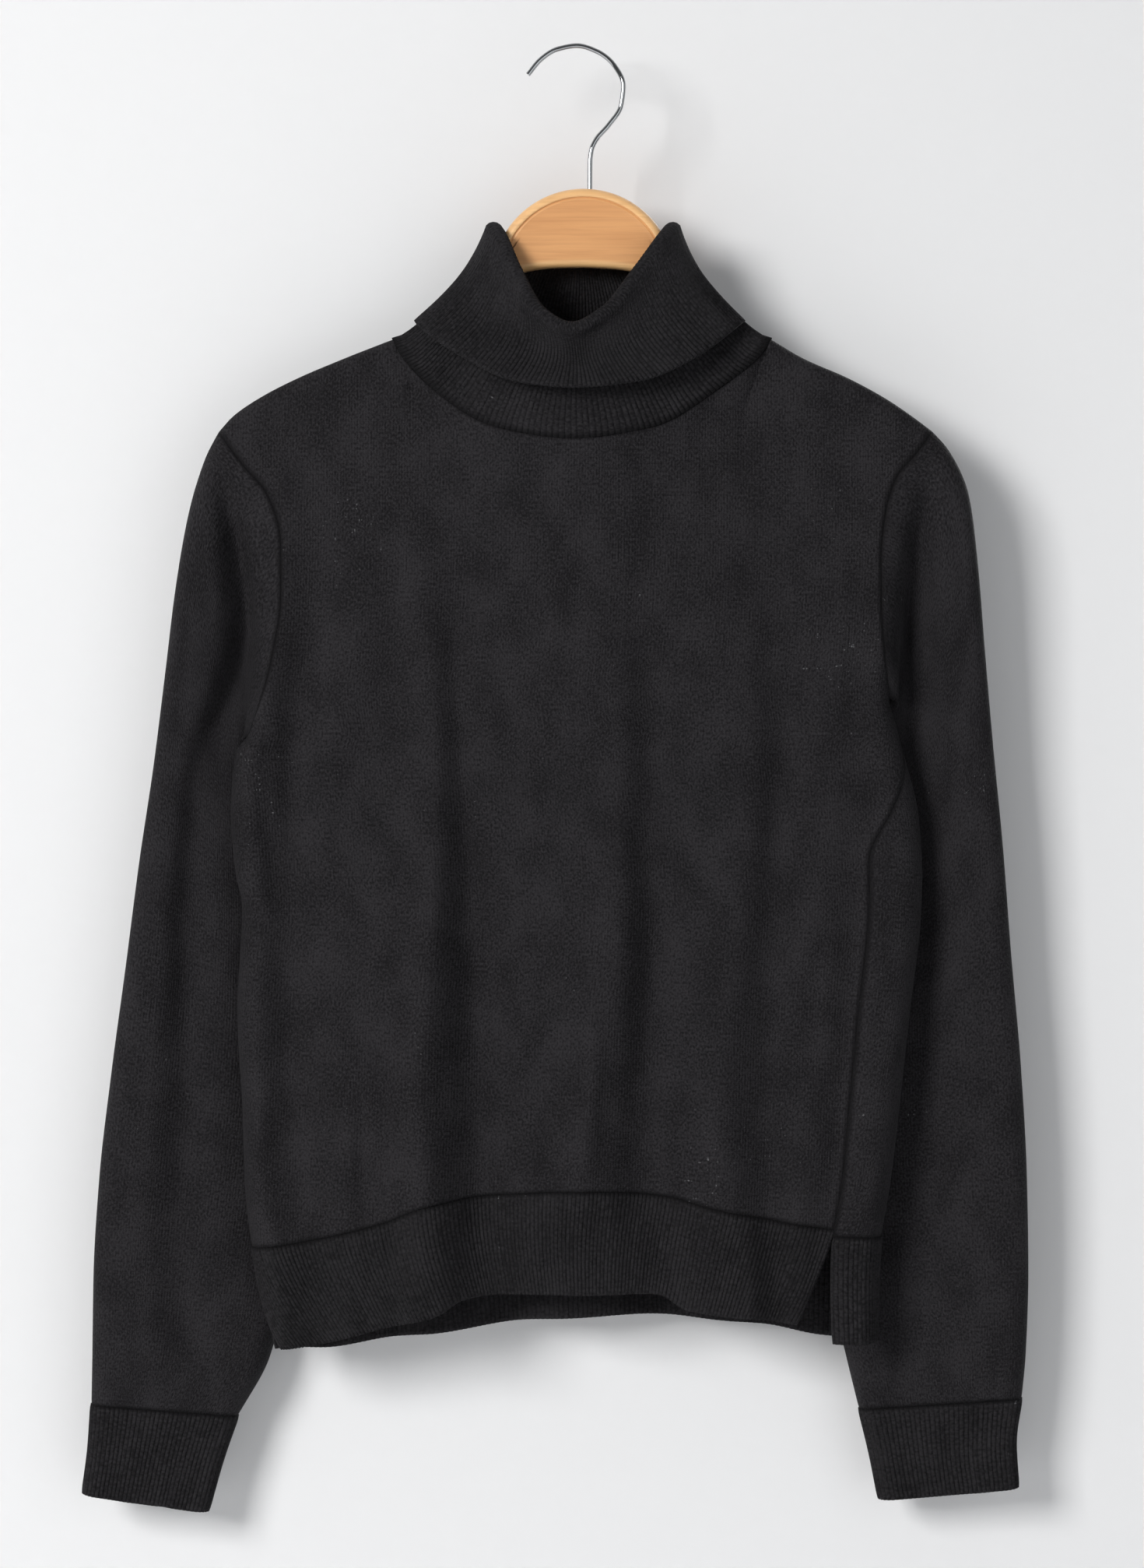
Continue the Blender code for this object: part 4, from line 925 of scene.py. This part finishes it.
# Collar: sections round the neck, from the middle of the front (0 degrees) by the sides (90) to the
# middle of the back (180). Each goes up from the neckline seam, over the rim and down to the loose
# hem. The x of the right and of the left half differ, since it sits a little askew.
COLLAR = table(
    "angle seam_xr seam_xl seam_y seam_z rim_xr rim_xl rim_y rim_z hem_xr hem_xl hem_y hem_z "
    "stand_bow fall_bow roll",
    (0, -3, -3, -25, -222, -3, -3, -38, -160, -1, -1, -47, -196.3, 2, -6, 4),
    (30, 41, -45, -23, -216, 14.5, -19.5, -35, -151, 33, -34, -44, -192.7, 1, -6, 4),
    (60, 80, -82, -16.5, -193.5, 33, -33, -25, -127, 68, -66, -34, -177, -2, -4.5, 3.8),
    (80, 103, -99, -11.5, -174.5, 47, -41.5, -13, -106.5, 88, -87, -18, -161, -4, -5, 4.2),
    (90, 109.5, -104.5, 0, -165.3, 51, -44.5, 0, -100.5, 94, -91.5, 0, -155, -4.6, -5, 4.4),
    (100, 103, -99, 11.5, -170, 48, -42, 12, -103, 88, -87, 17, -160, -4, -4.5, 4.2),
    (120, 80, -80, 15, -171, 36, -33, 17, -105, 72, -70, 27, -168, -1, -2, 3),
    (150, 42, -42, 19, -173, 19, -17, 20, -107, 40, -38, 32, -173, 0, 0, 3),
    (180, -1, -1, 20, -174, 1, 1, 21, -108, 0, 0, 34, -175, 0, 0, 3),
)
COLLAR_RIBS = 176
COLUMNS_PER_RIB = 4
# Soft hollows and swells of the collar: how far out, then the angle and the share of the way from
# the seam (0) over the rim (0.5) to the hem (1) that it is round, and its reach in each.
COLLAR_SWELLS = (
    (-2.6, 22, 0.62, 26, 0.07),
    (1.5, -24, 0.60, 18, 0.08),
    (1.2, -50, 0.72, 14, 0.10),
    (-1.2, 48, 0.80, 16, 0.12),
    (1.3, 8, 0.90, 26, 0.10),
    (-0.9, -12, 0.82, 10, 0.12),
    (-1.6, 60, 0.30, 20, 0.12),
    (1.4, -35, 0.25, 22, 0.12),
    (-1.4, -62, 0.86, 10, 0.10),
    (1.4, 72, 0.84, 12, 0.10),
    (1.4, 150, 0.78, 24, 0.14),
    (-1.4, -140, 0.80, 24, 0.14),
    (1.2, 180, 0.86, 20, 0.12),
)


def collar_sections():
    """Points of the collar at evenly spaced ribs: up the stand, over the rim and down the fall."""
    coarse = np.linspace(-180, 180, 721)

    def loop(name, angles):
        columns = (("_xl", "_xr"), ("_y", "_y"), ("_z", "_z"))
        return np.stack([round_neck(COLLAR, name + a, name + b, angles) for a, b in columns], -1)

    hem = loop("hem", coarse)
    run = np.concatenate([[0], np.cumsum(np.linalg.norm(np.diff(hem, axis=0), axis=1))])
    count = COLLAR_RIBS * COLUMNS_PER_RIB
    angles = np.interp(np.arange(count) / count * run[-1], run, coarse)
    size = {name: round_neck(COLLAR, name, name, angles) for name in ("stand_bow", "fall_bow", "roll")}
    seam, rim, hem = loop("seam", angles), loop("rim", angles), loop("hem", angles)
    out = (seam - [2.0, 0.0, 0.0]) * [1, 1, 0]
    out /= np.linalg.norm(out, axis=1)[:, None]
    up = (rim - seam) / np.linalg.norm(rim - seam, axis=1)[:, None]
    away = out - (out * up).sum(1)[:, None] * up
    away /= np.linalg.norm(away, axis=1)[:, None]
    roll = size["roll"][:, None]
    middle = rim - roll * up
    rows, share = [], []
    for w in np.linspace(0, 1, 17):
        bow = size["stand_bow"][:, None] * math.sin(math.pi * w**0.6)
        rows.append(seam + (middle - roll * away - seam) * w + bow * away)
        share.append(0.45 * w)
    for turn in np.linspace(0, math.pi, 9)[1:-1]:
        rows.append(middle + roll * (math.sin(turn) * up - math.cos(turn) * away))
        share.append(0.45 + 0.1 * turn / math.pi)
    for w in np.linspace(0, 1, 19):
        bow = size["fall_bow"][:, None] * (0 if w == 1.0 else math.sin(math.pi * w**0.9))
        rows.append(middle + roll * away + (hem - middle - roll * away) * w + bow * away)
        share.append(0.55 + 0.45 * w)
    return np.stack(rows), angles, np.array(share)[:, None]


def rib_places(grid):
    """How far across the flat cloth each point of a ribbed piece is, by counting its ribs."""
    places = np.arange(grid.shape[1]) / COLUMNS_PER_RIB * RIB_PITCH
    return np.repeat(places[None, :], len(grid), 0)


def ribs_in_band(rows):
    """The depth of the ribs in a band or cuff, row by row: they fade towards its seam and its hem."""
    return RIB_DEPTH * smooth(np.linspace(0, 1, rows), (0, 0.1, 0.93, 1), (0.5, 1, 1, 0.5))[:, None]


def add_ribs(grid, depth, columns_per_rib, is_tube):
    """Moves the points out on the ribs and in between them."""
    phase = np.arange(grid.shape[1]) / columns_per_rib * 2 * math.pi
    height = np.broadcast_to(depth * np.cos(phase)[None, :], grid.shape[:2])
    return grid + height[..., None] * outward(grid, is_tube)


grid, angles, share = collar_sections()
swell = np.zeros(grid.shape[:2])
for height, angle, place, reach_angle, reach_share in COLLAR_SWELLS:
    off = (angles - angle + 180) % 360 - 180
    swell += height * np.exp(-((off[None, :] / reach_angle) ** 2) - ((share - place) / reach_share) ** 2)
is_fall = np.where(share > 0.5, 1.0, -1.0)
grid = grid + (swell * is_fall)[..., None] * outward(grid, True)
rib_depth = RIB_DEPTH * smooth(share, RIB_RELIEF["share"], RIB_RELIEF["depth"])
grid = add_ribs(grid, rib_depth, COLUMNS_PER_RIB, True)
across = rib_places(grid)
along_collar = np.concatenate([[0], np.cumsum(np.linalg.norm(np.diff(grid, axis=0), axis=-1).mean(1))])
down = along_collar[:, None] + 0 * across
collar = add_cloth("collar_tube", grid, RIB_WALL, across, down, ("top",), True)
# Rib colours: the darker one is painted shade in the fuzz's hollows, the lighter one the lit yarn.
shaded_rib, lit_rib = (0.0066, 0.0062, 0.0070), (0.0205, 0.0194, 0.0213)
ribbed_knit = knit_material("black ribbed knit", shaded_rib, lit_rib, 0.85, 0.25)
collar.data.materials.append(ribbed_knit)
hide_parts("collar")

# ---------------------------------------------------------------------------------------------
# Hem bands. A band of ribbed knit along the bottom of the front and another along the back, each
# folded to a firm hem. They aren't joined at the sides, so a short slit opens there.
# ---------------------------------------------------------------------------------------------

BAND_ROWS = 24
BAND_RIBS = 150
BAND_MIDDLE_Z = -690.0
SLIT_TOP_Z = -672.0
SLIT_LENGTH = 58.0


def band_grid(is_front):
    """A hem band: it goes on from the panel's last row to the hem, drawn back at the slits."""
    name = "front" if is_front else "back"
    hem, band_top = (HEM_FRONT, BAND_TOP_FRONT) if is_front else (HEM_BACK, BAND_TOP_BACK)
    share = np.linspace(0, 1, BAND_RIBS * COLUMNS_PER_RIB + 1)
    rows = []
    for down in np.linspace(0, 1, BAND_ROWS):
        ends = []
        for side, word in ((-1, "left"), (1, "right")):
            start = side_edge(side, is_front)[0][-1]
            places = []
            for z in (SLIT_TOP_Z, SLIT_TOP_Z - SLIT_LENGTH * down):
                middle, flat, bend = ring_sizes(np.array(z))
                seam = smooth(z, SIDE_SEAM["z"], SIDE_SEAM[word])
                places.append(side * (flat + bend + (-seam if is_front else seam)))
            cut = side * SLIT[f"{name}_{word}"] * down**1.3
            ends.append(float(start + places[1] - places[0] - cut))
        p = ends[0] + (ends[1] - ends[0]) * share
        x = ring_point(p, np.full_like(p, BAND_MIDDLE_Z), is_front)[:, 0]
        if not rows:
            top_x = ring_point(p, np.full_like(p, BAND_TOP_Z), is_front)[:, 0]
            top_z = smooth(top_x, band_top["x"], band_top["z"])
        rows.append(ring_point(p, top_z + (smooth(x, hem["x"], hem["z"]) - top_z) * down, is_front))
    return np.stack(rows)


for name, is_front in (("front", True), ("back", False)):
    grid = band_grid(is_front)
    if not is_front:
        grid = grid[:, ::-1]
    grid = add_ribs(grid, ribs_in_band(BAND_ROWS), COLUMNS_PER_RIB, False)
    down = flat_places(grid)[1]
    across = rib_places(grid)
    band = add_cloth(f"hem_band_{name}_strip", grid, RIB_WALL, across, down, ("top",))
    band.data.materials.append(ribbed_knit)
    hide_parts(f"hem_band_{name}")

# ---------------------------------------------------------------------------------------------
# Cuffs. Each is a short tube of ribbed knit linked to the end of its sleeve, flattened as it hangs
# and open below for the hand.
# ---------------------------------------------------------------------------------------------

CUFF_LEFT = table(
    SLEEVE_COLUMNS,
    (-276.2, 18.0, -768.5, -194.5, 25.0, -776, 9.5, 0.0),
    (-277.8, 18.0, -793.0, -203.5, 24.0, -802, 9.0, 0.0),
    (-281.2, 18.0, -819.5, -211.5, 23.0, -830.5, 9.0, 0.0),
)
CUFF_RIGHT = table(
    SLEEVE_COLUMNS,
    (252.4, 18.0, -765.0, 161.5, 25.0, -772, 9.5, 0.0),
    (248.9, 18.0, -791.0, 167.8, 24.0, -798, 9.0, 0.0),
    (250.4, 18.0, -816.0, 172.8, 23.0, -823.5, 9.0, 0.0),
)
CUFF_ROWS = 26
CUFF_RIBS = 72
CUFF_CREASES = (
    (-1.8, 3.5, 3.5, (-229, -800), (-233, -815), (-238, -830)),
    (1.4, 5, 5, (-250, -780), (-254, -800), (-256, -826)),
    (-1.4, 4, 4, (206, -775), (210, -795), (208, -818)),
    (1.2, 5, 5, (232, -775), (230, -800), (228, -822)),
)

for side, sections in (("left", CUFF_LEFT), ("right", CUFF_RIGHT)):
    steps = np.linspace(0, 1, CUFF_RIBS * COLUMNS_PER_RIB // 2 + 1)
    grid = smooth_between(tube_rings(sections, steps), CUFF_ROWS)
    front_facing, back_facing = front_share(steps)
    creased = crease_height(CUFF_CREASES, grid[..., 0], grid[..., 2])
    grid[..., 1] -= creased * (front_facing - 0.5 * back_facing)
    if side == "right":
        grid = np.roll(grid[:, ::-1], 1, 1)
    grid = add_ribs(grid, ribs_in_band(CUFF_ROWS), COLUMNS_PER_RIB, True)
    down = flat_places(grid)[1]
    across = rib_places(grid)
    cuff = add_cloth(f"cuff_{side}_tube", grid, RIB_WALL, across, down, ("top",), True)
    cuff.data.materials.append(ribbed_knit)
    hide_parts(f"cuff_{side}")

# ---------------------------------------------------------------------------------------------
# Hanger board. One piece of light orange-brown wood, cut to the line of the shoulders with a round
# head for the hook. Its edges are rounded, a router has left a raised rim round the front, and it
# is sealed with a satin lacquer.
# ---------------------------------------------------------------------------------------------

BOARD_CENTRE = (3.5, -131.6)  # x, z of the centre of the board's round top
BOARD_TOP_RADIUS = 52.0
BOARD_TILT = math.radians(1.0)  # it hangs this much out of level, left arm up
WIRE_RADIUS = 1.4
BOARD_COLUMNS = 90  # points along the top edge and along the bottom edge, on each side
# Board: half of its outline, as the distance out from the middle and the height. The top starts as
# the round head, and flows out into the arm.
BOARD_TOP = table(
    "out    z",
    (52.0, -117.0),
    (60.0, -130.5),
    (70.0, -145.5),
    (84.0, -160.6),
    (106.0, -171.4),
    (123.5, -177.2),
    (148.5, -187.5),
    (169.0, -198.1),
    (180.0, -205.7),
)
BOARD_BOTTOM = table(
    "out    z",
    (180.0, -224.5),
    (169.0, -223.5),
    (148.5, -214.5),
    (106.0, -196.0),
    (80.0, -178.0),
    (60.0, -155.0),
    (46.0, -136.5),
    (33.0, -127.2),
    (16.0, -124.6),
    (0.0, -124.0),
)
# Its section, from the middle of the back round the edge to the face: how far in from the edge, and
# the y and the share of the paler edge's colour there (partly wear, partly a painted highlight), along
# its top and along its bottom. The rim and the groove inside it follow the top only.
BOARD_PROFILE = table(
    "inset top_y  top_rim bottom_y bottom_rim",
    (9.0, 6.0, 0, 6.0, 0),
    (7.4, 6.0, 0, 6.0, 0),
    (4.5, 6.0, 0.4, 6.0, 0.2),
    (2.6, 5.6, 1, 5.6, 1),
    (1.3, 4.7, 1, 4.7, 1),
    (0.4, 3.1, 1, 3.1, 1),
    (0.0, 1.2, 1, 1.2, 1),
    (0.0, -1.2, 1, -0.9, 1),
    (0.3, -2.9, 1, -2.4, 1),
    (0.9, -4.2, 1, -3.7, 1),
    (1.8, -5.2, 1, -4.6, 1),
    (2.9, -5.85, 1, -5.1, 0.8),
    (3.9, -6.0, 1, -5.2, 0.2),
    (4.7, -5.95, 1, -5.2, 0),
    (5.1, -5.6, 0.6, -5.2, 0),
    (5.35, -5.0, 0, -5.2, 0),
    (5.7, -4.75, 0, -5.2, 0),
    (6.0, -5.05, 0.2, -5.2, 0),
    (6.4, -5.3, 0.5, -5.2, 0),
    (6.9, -5.25, 0, -5.2, 0),
    (7.4, -5.2, 0, -5.2, 0),
    (9.0, -5.2, 0, -5.2, 0),
)


def board_outline(inset):
    """The board's outline, this far in from its edge, as x, z points once round."""
    centre_z = BOARD_CENTRE[1]
    head = [
        (BOARD_TOP_RADIUS * math.sin(a), centre_z + BOARD_TOP_RADIUS * math.cos(a))
        for a in np.radians(range(3, 63, 3))
    ]
    arm = np.stack([BOARD_TOP["out"], BOARD_TOP["z"]], -1)
    share = np.linspace(0, 1, BOARD_COLUMNS)
    top = along(np.vstack([head, arm]), share)
    bottom = along(np.stack([BOARD_BOTTOM["out"], BOARD_BOTTOM["z"]], -1), share)
    tip_centre = (top[-1] + bottom[0]) / 2
    tip_radius = np.linalg.norm(top[-1] - bottom[0]) / 2
    start = math.atan2(*(top[-1] - tip_centre)[::-1])
    tip = [
        tip_centre + tip_radius * np.array([math.cos(start - a), math.sin(start - a)])
        for a in np.linspace(0, math.pi, 18)[1:-1]
    ]
    right = np.vstack([top, tip, bottom])
    left = right[:-1][::-1] * [-1, 1]
    line = np.vstack([[[0.0, centre_z + BOARD_TOP_RADIUS]], right, left])
    tangent = np.roll(line, -1, 0) - np.roll(line, 1, 0)
    tangent /= np.linalg.norm(tangent, axis=1)[:, None]
    line = line + inset * np.stack([tangent[:, 1], -tangent[:, 0]], -1)
    c, s = math.cos(BOARD_TILT), math.sin(BOARD_TILT)
    x, z = (line - [0, centre_z]).T
    return np.stack([c * x + s * z, c * z - s * x], -1) + BOARD_CENTRE


def board_face(around, first, is_front):
    """The front or the back: faces from the top edge to the bottom edge, and the two tips."""
    middle, made = around // 2, []
    for side in (1, -1):
        strips = [
            (side * k, side * (k + 1), middle - side * (k + 1), middle - side * k)
            for k in range(BOARD_COLUMNS - 1)
        ]
        strips.append([side * k for k in range(BOARD_COLUMNS - 1, middle - BOARD_COLUMNS + 2)])
        turn = -1 if (side == 1) == is_front else 1
        made += [tuple(first + k % around for k in strip)[::turn] for strip in strips]
    return made


def wood_group():
    """Straight grain along the board: broad bands, fine lines and short dark pores."""
    group = bpy.data.node_groups.new("wood_grain", "ShaderNodeTree")
    socket = group.interface.new_socket
    socket("Bands", in_out="OUTPUT", socket_type="NodeSocketFloat")
    socket("Lines", in_out="OUTPUT", socket_type="NodeSocketFloat")
    nodes, link = group.nodes, group.links.new
    result, place = nodes.new("NodeGroupOutput"), nodes.new("ShaderNodeTexCoord")
    for name, stretch, detail in (("Bands", (6, 60, 70), 3.0), ("Lines", (28, 500, 620), 5.0)):
        where, made = nodes.new("ShaderNodeMapping"), nodes.new("ShaderNodeTexNoise")
        where.inputs["Scale"].default_value = stretch
        where.inputs["Rotation"].default_value = (0, 0.04, 0)
        made.inputs["Scale"].default_value = 1.0
        made.inputs["Detail"].default_value = detail
        made.inputs["Distortion"].default_value = 0.4
        link(place.outputs["Object"], where.inputs["Vector"])
        link(where.outputs[0], made.inputs["Vector"])
        link(made.outputs[0], result.inputs[name])
    return group


def wood_material():
    """Lacquered wood, paler on the rounded rim: partly wear, partly a painted highlight where the rim
    catches the light.
    """
    made = bpy.data.materials.new("lacquered wood")
    made.use_nodes = True
    nodes, link = made.node_tree.nodes, made.node_tree.links.new
    shader = nodes["Principled BSDF"]
    shader.inputs["Roughness"].default_value = 0.42
    shader.inputs["Coat Weight"].default_value = 0.25
    shader.inputs["Coat Roughness"].default_value = 0.25
    grain, rim = nodes.new("ShaderNodeGroup"), nodes.new("ShaderNodeAttribute")
    grain.node_tree = wood_group()
    rim.attribute_name = "rim"

    def blend(first, second, share):
        node = nodes.new("ShaderNodeMix")
        node.data_type = "RGBA"
        for name, value in (("A", first), ("B", second)):
            if isinstance(value, tuple):
                node.inputs[name].default_value = (*value, 1)
            else:
                link(value, node.inputs[name])
        link(share, node.inputs["Factor"])
        return node.outputs["Result"]

    face = blend(FACE_DARK, FACE_LIGHT, grain.outputs["Bands"])
    edge = blend(RIM_DARK, RIM_LIGHT, grain.outputs["Bands"])
    ramp = nodes.new("ShaderNodeMapRange")
    ramp.inputs["From Min"].default_value = 0.35
    ramp.inputs["From Max"].default_value = 0.75
    ramp.inputs["To Max"].default_value = 0.35
    link(grain.outputs["Lines"], ramp.inputs["Value"])
    # The rim's paler colour is partly wear and partly a painted highlight.
    both = blend(face, edge, rim.outputs["Fac"])
    link(blend(both, GRAIN_LINE, ramp.outputs[0]), shader.inputs["Base Color"])
    bump = nodes.new("ShaderNodeBump")
    bump.inputs["Distance"].default_value = 0.05 * MM
    bump.inputs["Strength"].default_value = 0.5
    link(grain.outputs["Lines"], bump.inputs["Height"])
    link(bump.outputs[0], shader.inputs["Normal"])
    return made


FACE_DARK, FACE_LIGHT = (0.60, 0.27, 0.095), (0.80, 0.41, 0.165)
# The rim's colours: partly wear, partly a painted highlight.
RIM_DARK, RIM_LIGHT = (0.84, 0.48, 0.20), (0.93, 0.58, 0.27)
GRAIN_LINE = (0.44, 0.18, 0.06)

around = len(board_outline(0.0))
from_top = np.minimum(np.arange(around), around - np.arange(around))
is_top = from_top <= BOARD_COLUMNS
points, rims = [], []
for k, inset in enumerate(BOARD_PROFILE["inset"]):
    y = np.where(is_top, BOARD_PROFILE["top_y"][k], BOARD_PROFILE["bottom_y"][k])
    loop = board_outline(inset)
    points += (np.stack([loop[:, 0], y, loop[:, 1]], -1) * MM).tolist()
    rims += np.where(is_top, BOARD_PROFILE["top_rim"][k], BOARD_PROFILE["bottom_rim"][k]).tolist()
flat_faces = board_face(around, 0, False) + board_face(around, len(points) - around, True)
faces = list(flat_faces)
for row in range(len(BOARD_PROFILE["inset"]) - 1):
    for i in range(around):
        here, after = row * around + i, row * around + (i + 1) % around
        faces.append((here, here + around, after + around, after))
mesh = bpy.data.meshes.new("hanger_board")
mesh.from_pydata(points, [], faces)
mesh.shade_smooth()
smooth_sides = [False] * len(flat_faces) + [True] * (len(faces) - len(flat_faces))
mesh.polygons.foreach_set("use_smooth", smooth_sides)
mesh.attributes.new("rim", "FLOAT", "POINT").data.foreach_set("value", rims)
board = bpy.data.objects.new("hanger_board", mesh)
bpy.context.scene.collection.objects.link(board)
board.data.materials.append(wood_material())
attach(board, "root")
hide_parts("hanger_body")

# ---------------------------------------------------------------------------------------------
# Hook. A bent wire of bright chromed steel, cut off plain at its tip and pressed into a hole in the
# top of the board.
# ---------------------------------------------------------------------------------------------

# Hook: the line of the wire, from its cut tip over the top and down to the board.
HOOK = table(
    "x      z",
    (-28.0, -15.0),
    (-20.8, -6.4),
    (-11.5, -0.6),
    (-0.2, 1.4),
    (11.3, -2.0),
    (20.8, -9.8),
    (25.9, -21.0),
    (24.6, -32.5),
    (17.5, -43.6),
    (10.6, -51.6),
    (8.0, -57.2),
    (7.1, -64.0),
    (7.0, -72.0),
)
WIRE_POINTS = 140
HOOK_LENGTH_IN_WOOD = 15.0

line = along(np.stack([HOOK["x"], HOOK["z"]], -1), np.linspace(0, 1, WIRE_POINTS))
hook_end = BOARD_CENTRE[1] + BOARD_TOP_RADIUS - HOOK_LENGTH_IN_WOOD
curve = bpy.data.curves.new("hook_wire", "CURVE")
curve.dimensions = "3D"
curve.bevel_depth = WIRE_RADIUS * MM
curve.bevel_resolution = 6
curve.use_fill_caps = True
wire = curve.splines.new("POLY")
wire.points.add(WIRE_POINTS)
for place, (x, z) in zip(wire.points, [*line, (HOOK["x"][-1], hook_end)]):
    place.co = (x * MM, 0, z * MM, 1)
wire.use_smooth = True
hook = bpy.data.objects.new("hook_wire", curve)
bpy.context.scene.collection.objects.link(hook)
chrome = bpy.data.materials.new("chromed wire")
chrome.use_nodes = True
nodes, link = chrome.node_tree.nodes, chrome.node_tree.links.new
plating = nodes["Principled BSDF"]
plating.inputs["Base Color"].default_value = (0.42, 0.43, 0.44, 1)
plating.inputs["Metallic"].default_value = 1.0
smear, smear_to = nodes.new("ShaderNodeTexNoise"), nodes.new("ShaderNodeMapRange")
smear.inputs["Scale"].default_value = 30.0
smear_to.inputs["To Min"].default_value = 0.05
smear_to.inputs["To Max"].default_value = 0.11
link(smear.outputs[0], smear_to.inputs["Value"])
link(smear_to.outputs[0], plating.inputs["Roughness"])
curve.materials.append(chrome)
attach(hook, "root")
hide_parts("hanger_hook")

# ---------------------------------------------------------------------------------------------
# Wall and floor, lights and camera. The wall is close behind the sweater, and both are seen from
# their front only, so that the back of the sweater can be seen and lit too.
# ---------------------------------------------------------------------------------------------

WALL_Y, FLOOR_Z, COVE = 0.056, -1.30, 0.25
sweep = [(WALL_Y, 1.6)]
sweep += [
    (WALL_Y - COVE * (1 - math.cos(a)), FLOOR_Z + COVE * (1 - math.sin(a)))
    for a in np.linspace(0, math.pi / 2, 9)
]
sweep.append((-4.0, FLOOR_Z))
mesh = bpy.data.meshes.new("wall_and_floor")
mesh.from_pydata(
    [(x, y, z) for y, z in sweep for x in (-2.4, 2.4)],
    [],
    [(2 * i, 2 * i + 2, 2 * i + 3, 2 * i + 1) for i in range(len(sweep) - 1)],
)
mesh.shade_smooth()
backdrop = bpy.data.objects.new("wall_and_floor", mesh)
bpy.context.scene.collection.objects.link(backdrop)
paint = bpy.data.materials.new("pale wall")
paint.use_nodes = True
nodes, link = paint.node_tree.nodes, paint.node_tree.links.new
matt = nodes["Principled BSDF"]
matt.inputs["Base Color"].default_value = (0.79, 0.792, 0.80, 1)
matt.inputs["Roughness"].default_value = 0.9
matt.inputs["Specular IOR Level"].default_value = 0.1
geometry, path = nodes.new("ShaderNodeNewGeometry"), nodes.new("ShaderNodeLightPath")
either, clear, shown = (nodes.new(f"ShaderNode{kind}") for kind in ("Math", "BsdfTransparent", "MixShader"))
either.operation = "MAXIMUM"
link(geometry.outputs["Backfacing"], either.inputs[0])
link(path.outputs["Is Shadow Ray"], either.inputs[1])
link(either.outputs[0], shown.inputs[0])
link(matt.outputs[0], shown.inputs[1])
link(clear.outputs[0], shown.inputs[2])
link(shown.outputs[0], nodes["Material Output"].inputs["Surface"])
mesh.materials.append(paint)

world = bpy.data.worlds.new("studio")
bpy.context.scene.world = world
world.use_nodes = True
nodes, link = world.node_tree.nodes, world.node_tree.links.new
direction, split = nodes.new("ShaderNodeTexCoord"), nodes.new("ShaderNodeSeparateXYZ")
link(direction.outputs["Generated"], split.inputs[0])
height = nodes.new("ShaderNodeMapRange")
height.inputs["From Min"].default_value = -0.5
height.inputs["From Max"].default_value = 0.9
height.inputs["To Min"].default_value = 0.22
height.inputs["To Max"].default_value = 0.50
link(split.outputs["Z"], height.inputs["Value"])
room = nodes.new("ShaderNodeMapRange")  # the room in front of the wall is darker
room.inputs["From Min"].default_value = -0.8
room.inputs["From Max"].default_value = 0.1
room.inputs["To Min"].default_value = 0.28
room.inputs["To Max"].default_value = 1.0
link(split.outputs["Y"], room.inputs["Value"])
glow = nodes.new("ShaderNodeMath")
glow.operation = "MULTIPLY"
link(height.outputs[0], glow.inputs[0])
link(room.outputs[0], glow.inputs[1])
link(glow.outputs[0], nodes["Background"].inputs["Strength"])
nodes["Background"].inputs["Color"].default_value = (0.98, 0.99, 1.0, 1)


def add_light(name, place, target, size, power, colour):
    """A soft square lamp at place, turned to target."""
    lamp = bpy.data.lights.new(name, "AREA")
    lamp.energy, lamp.size, lamp.color = power, size, colour
    made = bpy.data.objects.new(name, lamp)
    made.location = place
    away = [b - a for a, b in zip(place, target)]
    made.rotation_euler = Vector(away).to_track_quat("-Z", "Y").to_euler()
    bpy.context.scene.collection.objects.link(made)


CHEST = (0.0, 0.0, -0.42)
add_light("key", (-1.85, -2.7, 0.45), CHEST, 1.1, 88, (1.0, 0.995, 0.985))
add_light("fill", (1.5, -3.0, -0.3), CHEST, 2.2, 17, (0.96, 0.98, 1.0))
add_light("back", (0.7, 1.9, 0.4), CHEST, 1.2, 34, (1.0, 1.0, 1.0))

CAMERA_DISTANCE = 2.2
FRAME_HEIGHT = 0.886  # what the camera sees of the sweater's plane, from top to bottom
lens = bpy.data.cameras.new("camera")
lens.sensor_width = 36.0
lens.lens = lens.sensor_width * CAMERA_DISTANCE / FRAME_HEIGHT
camera = bpy.data.objects.new("camera", lens)
camera.location = (-0.0031, -CAMERA_DISTANCE, -0.4158)
camera.rotation_euler = (math.pi / 2, 0, 0)
bpy.context.scene.collection.objects.link(camera)
bpy.context.scene.camera = camera
bpy.context.scene.view_settings.view_transform = "Standard"
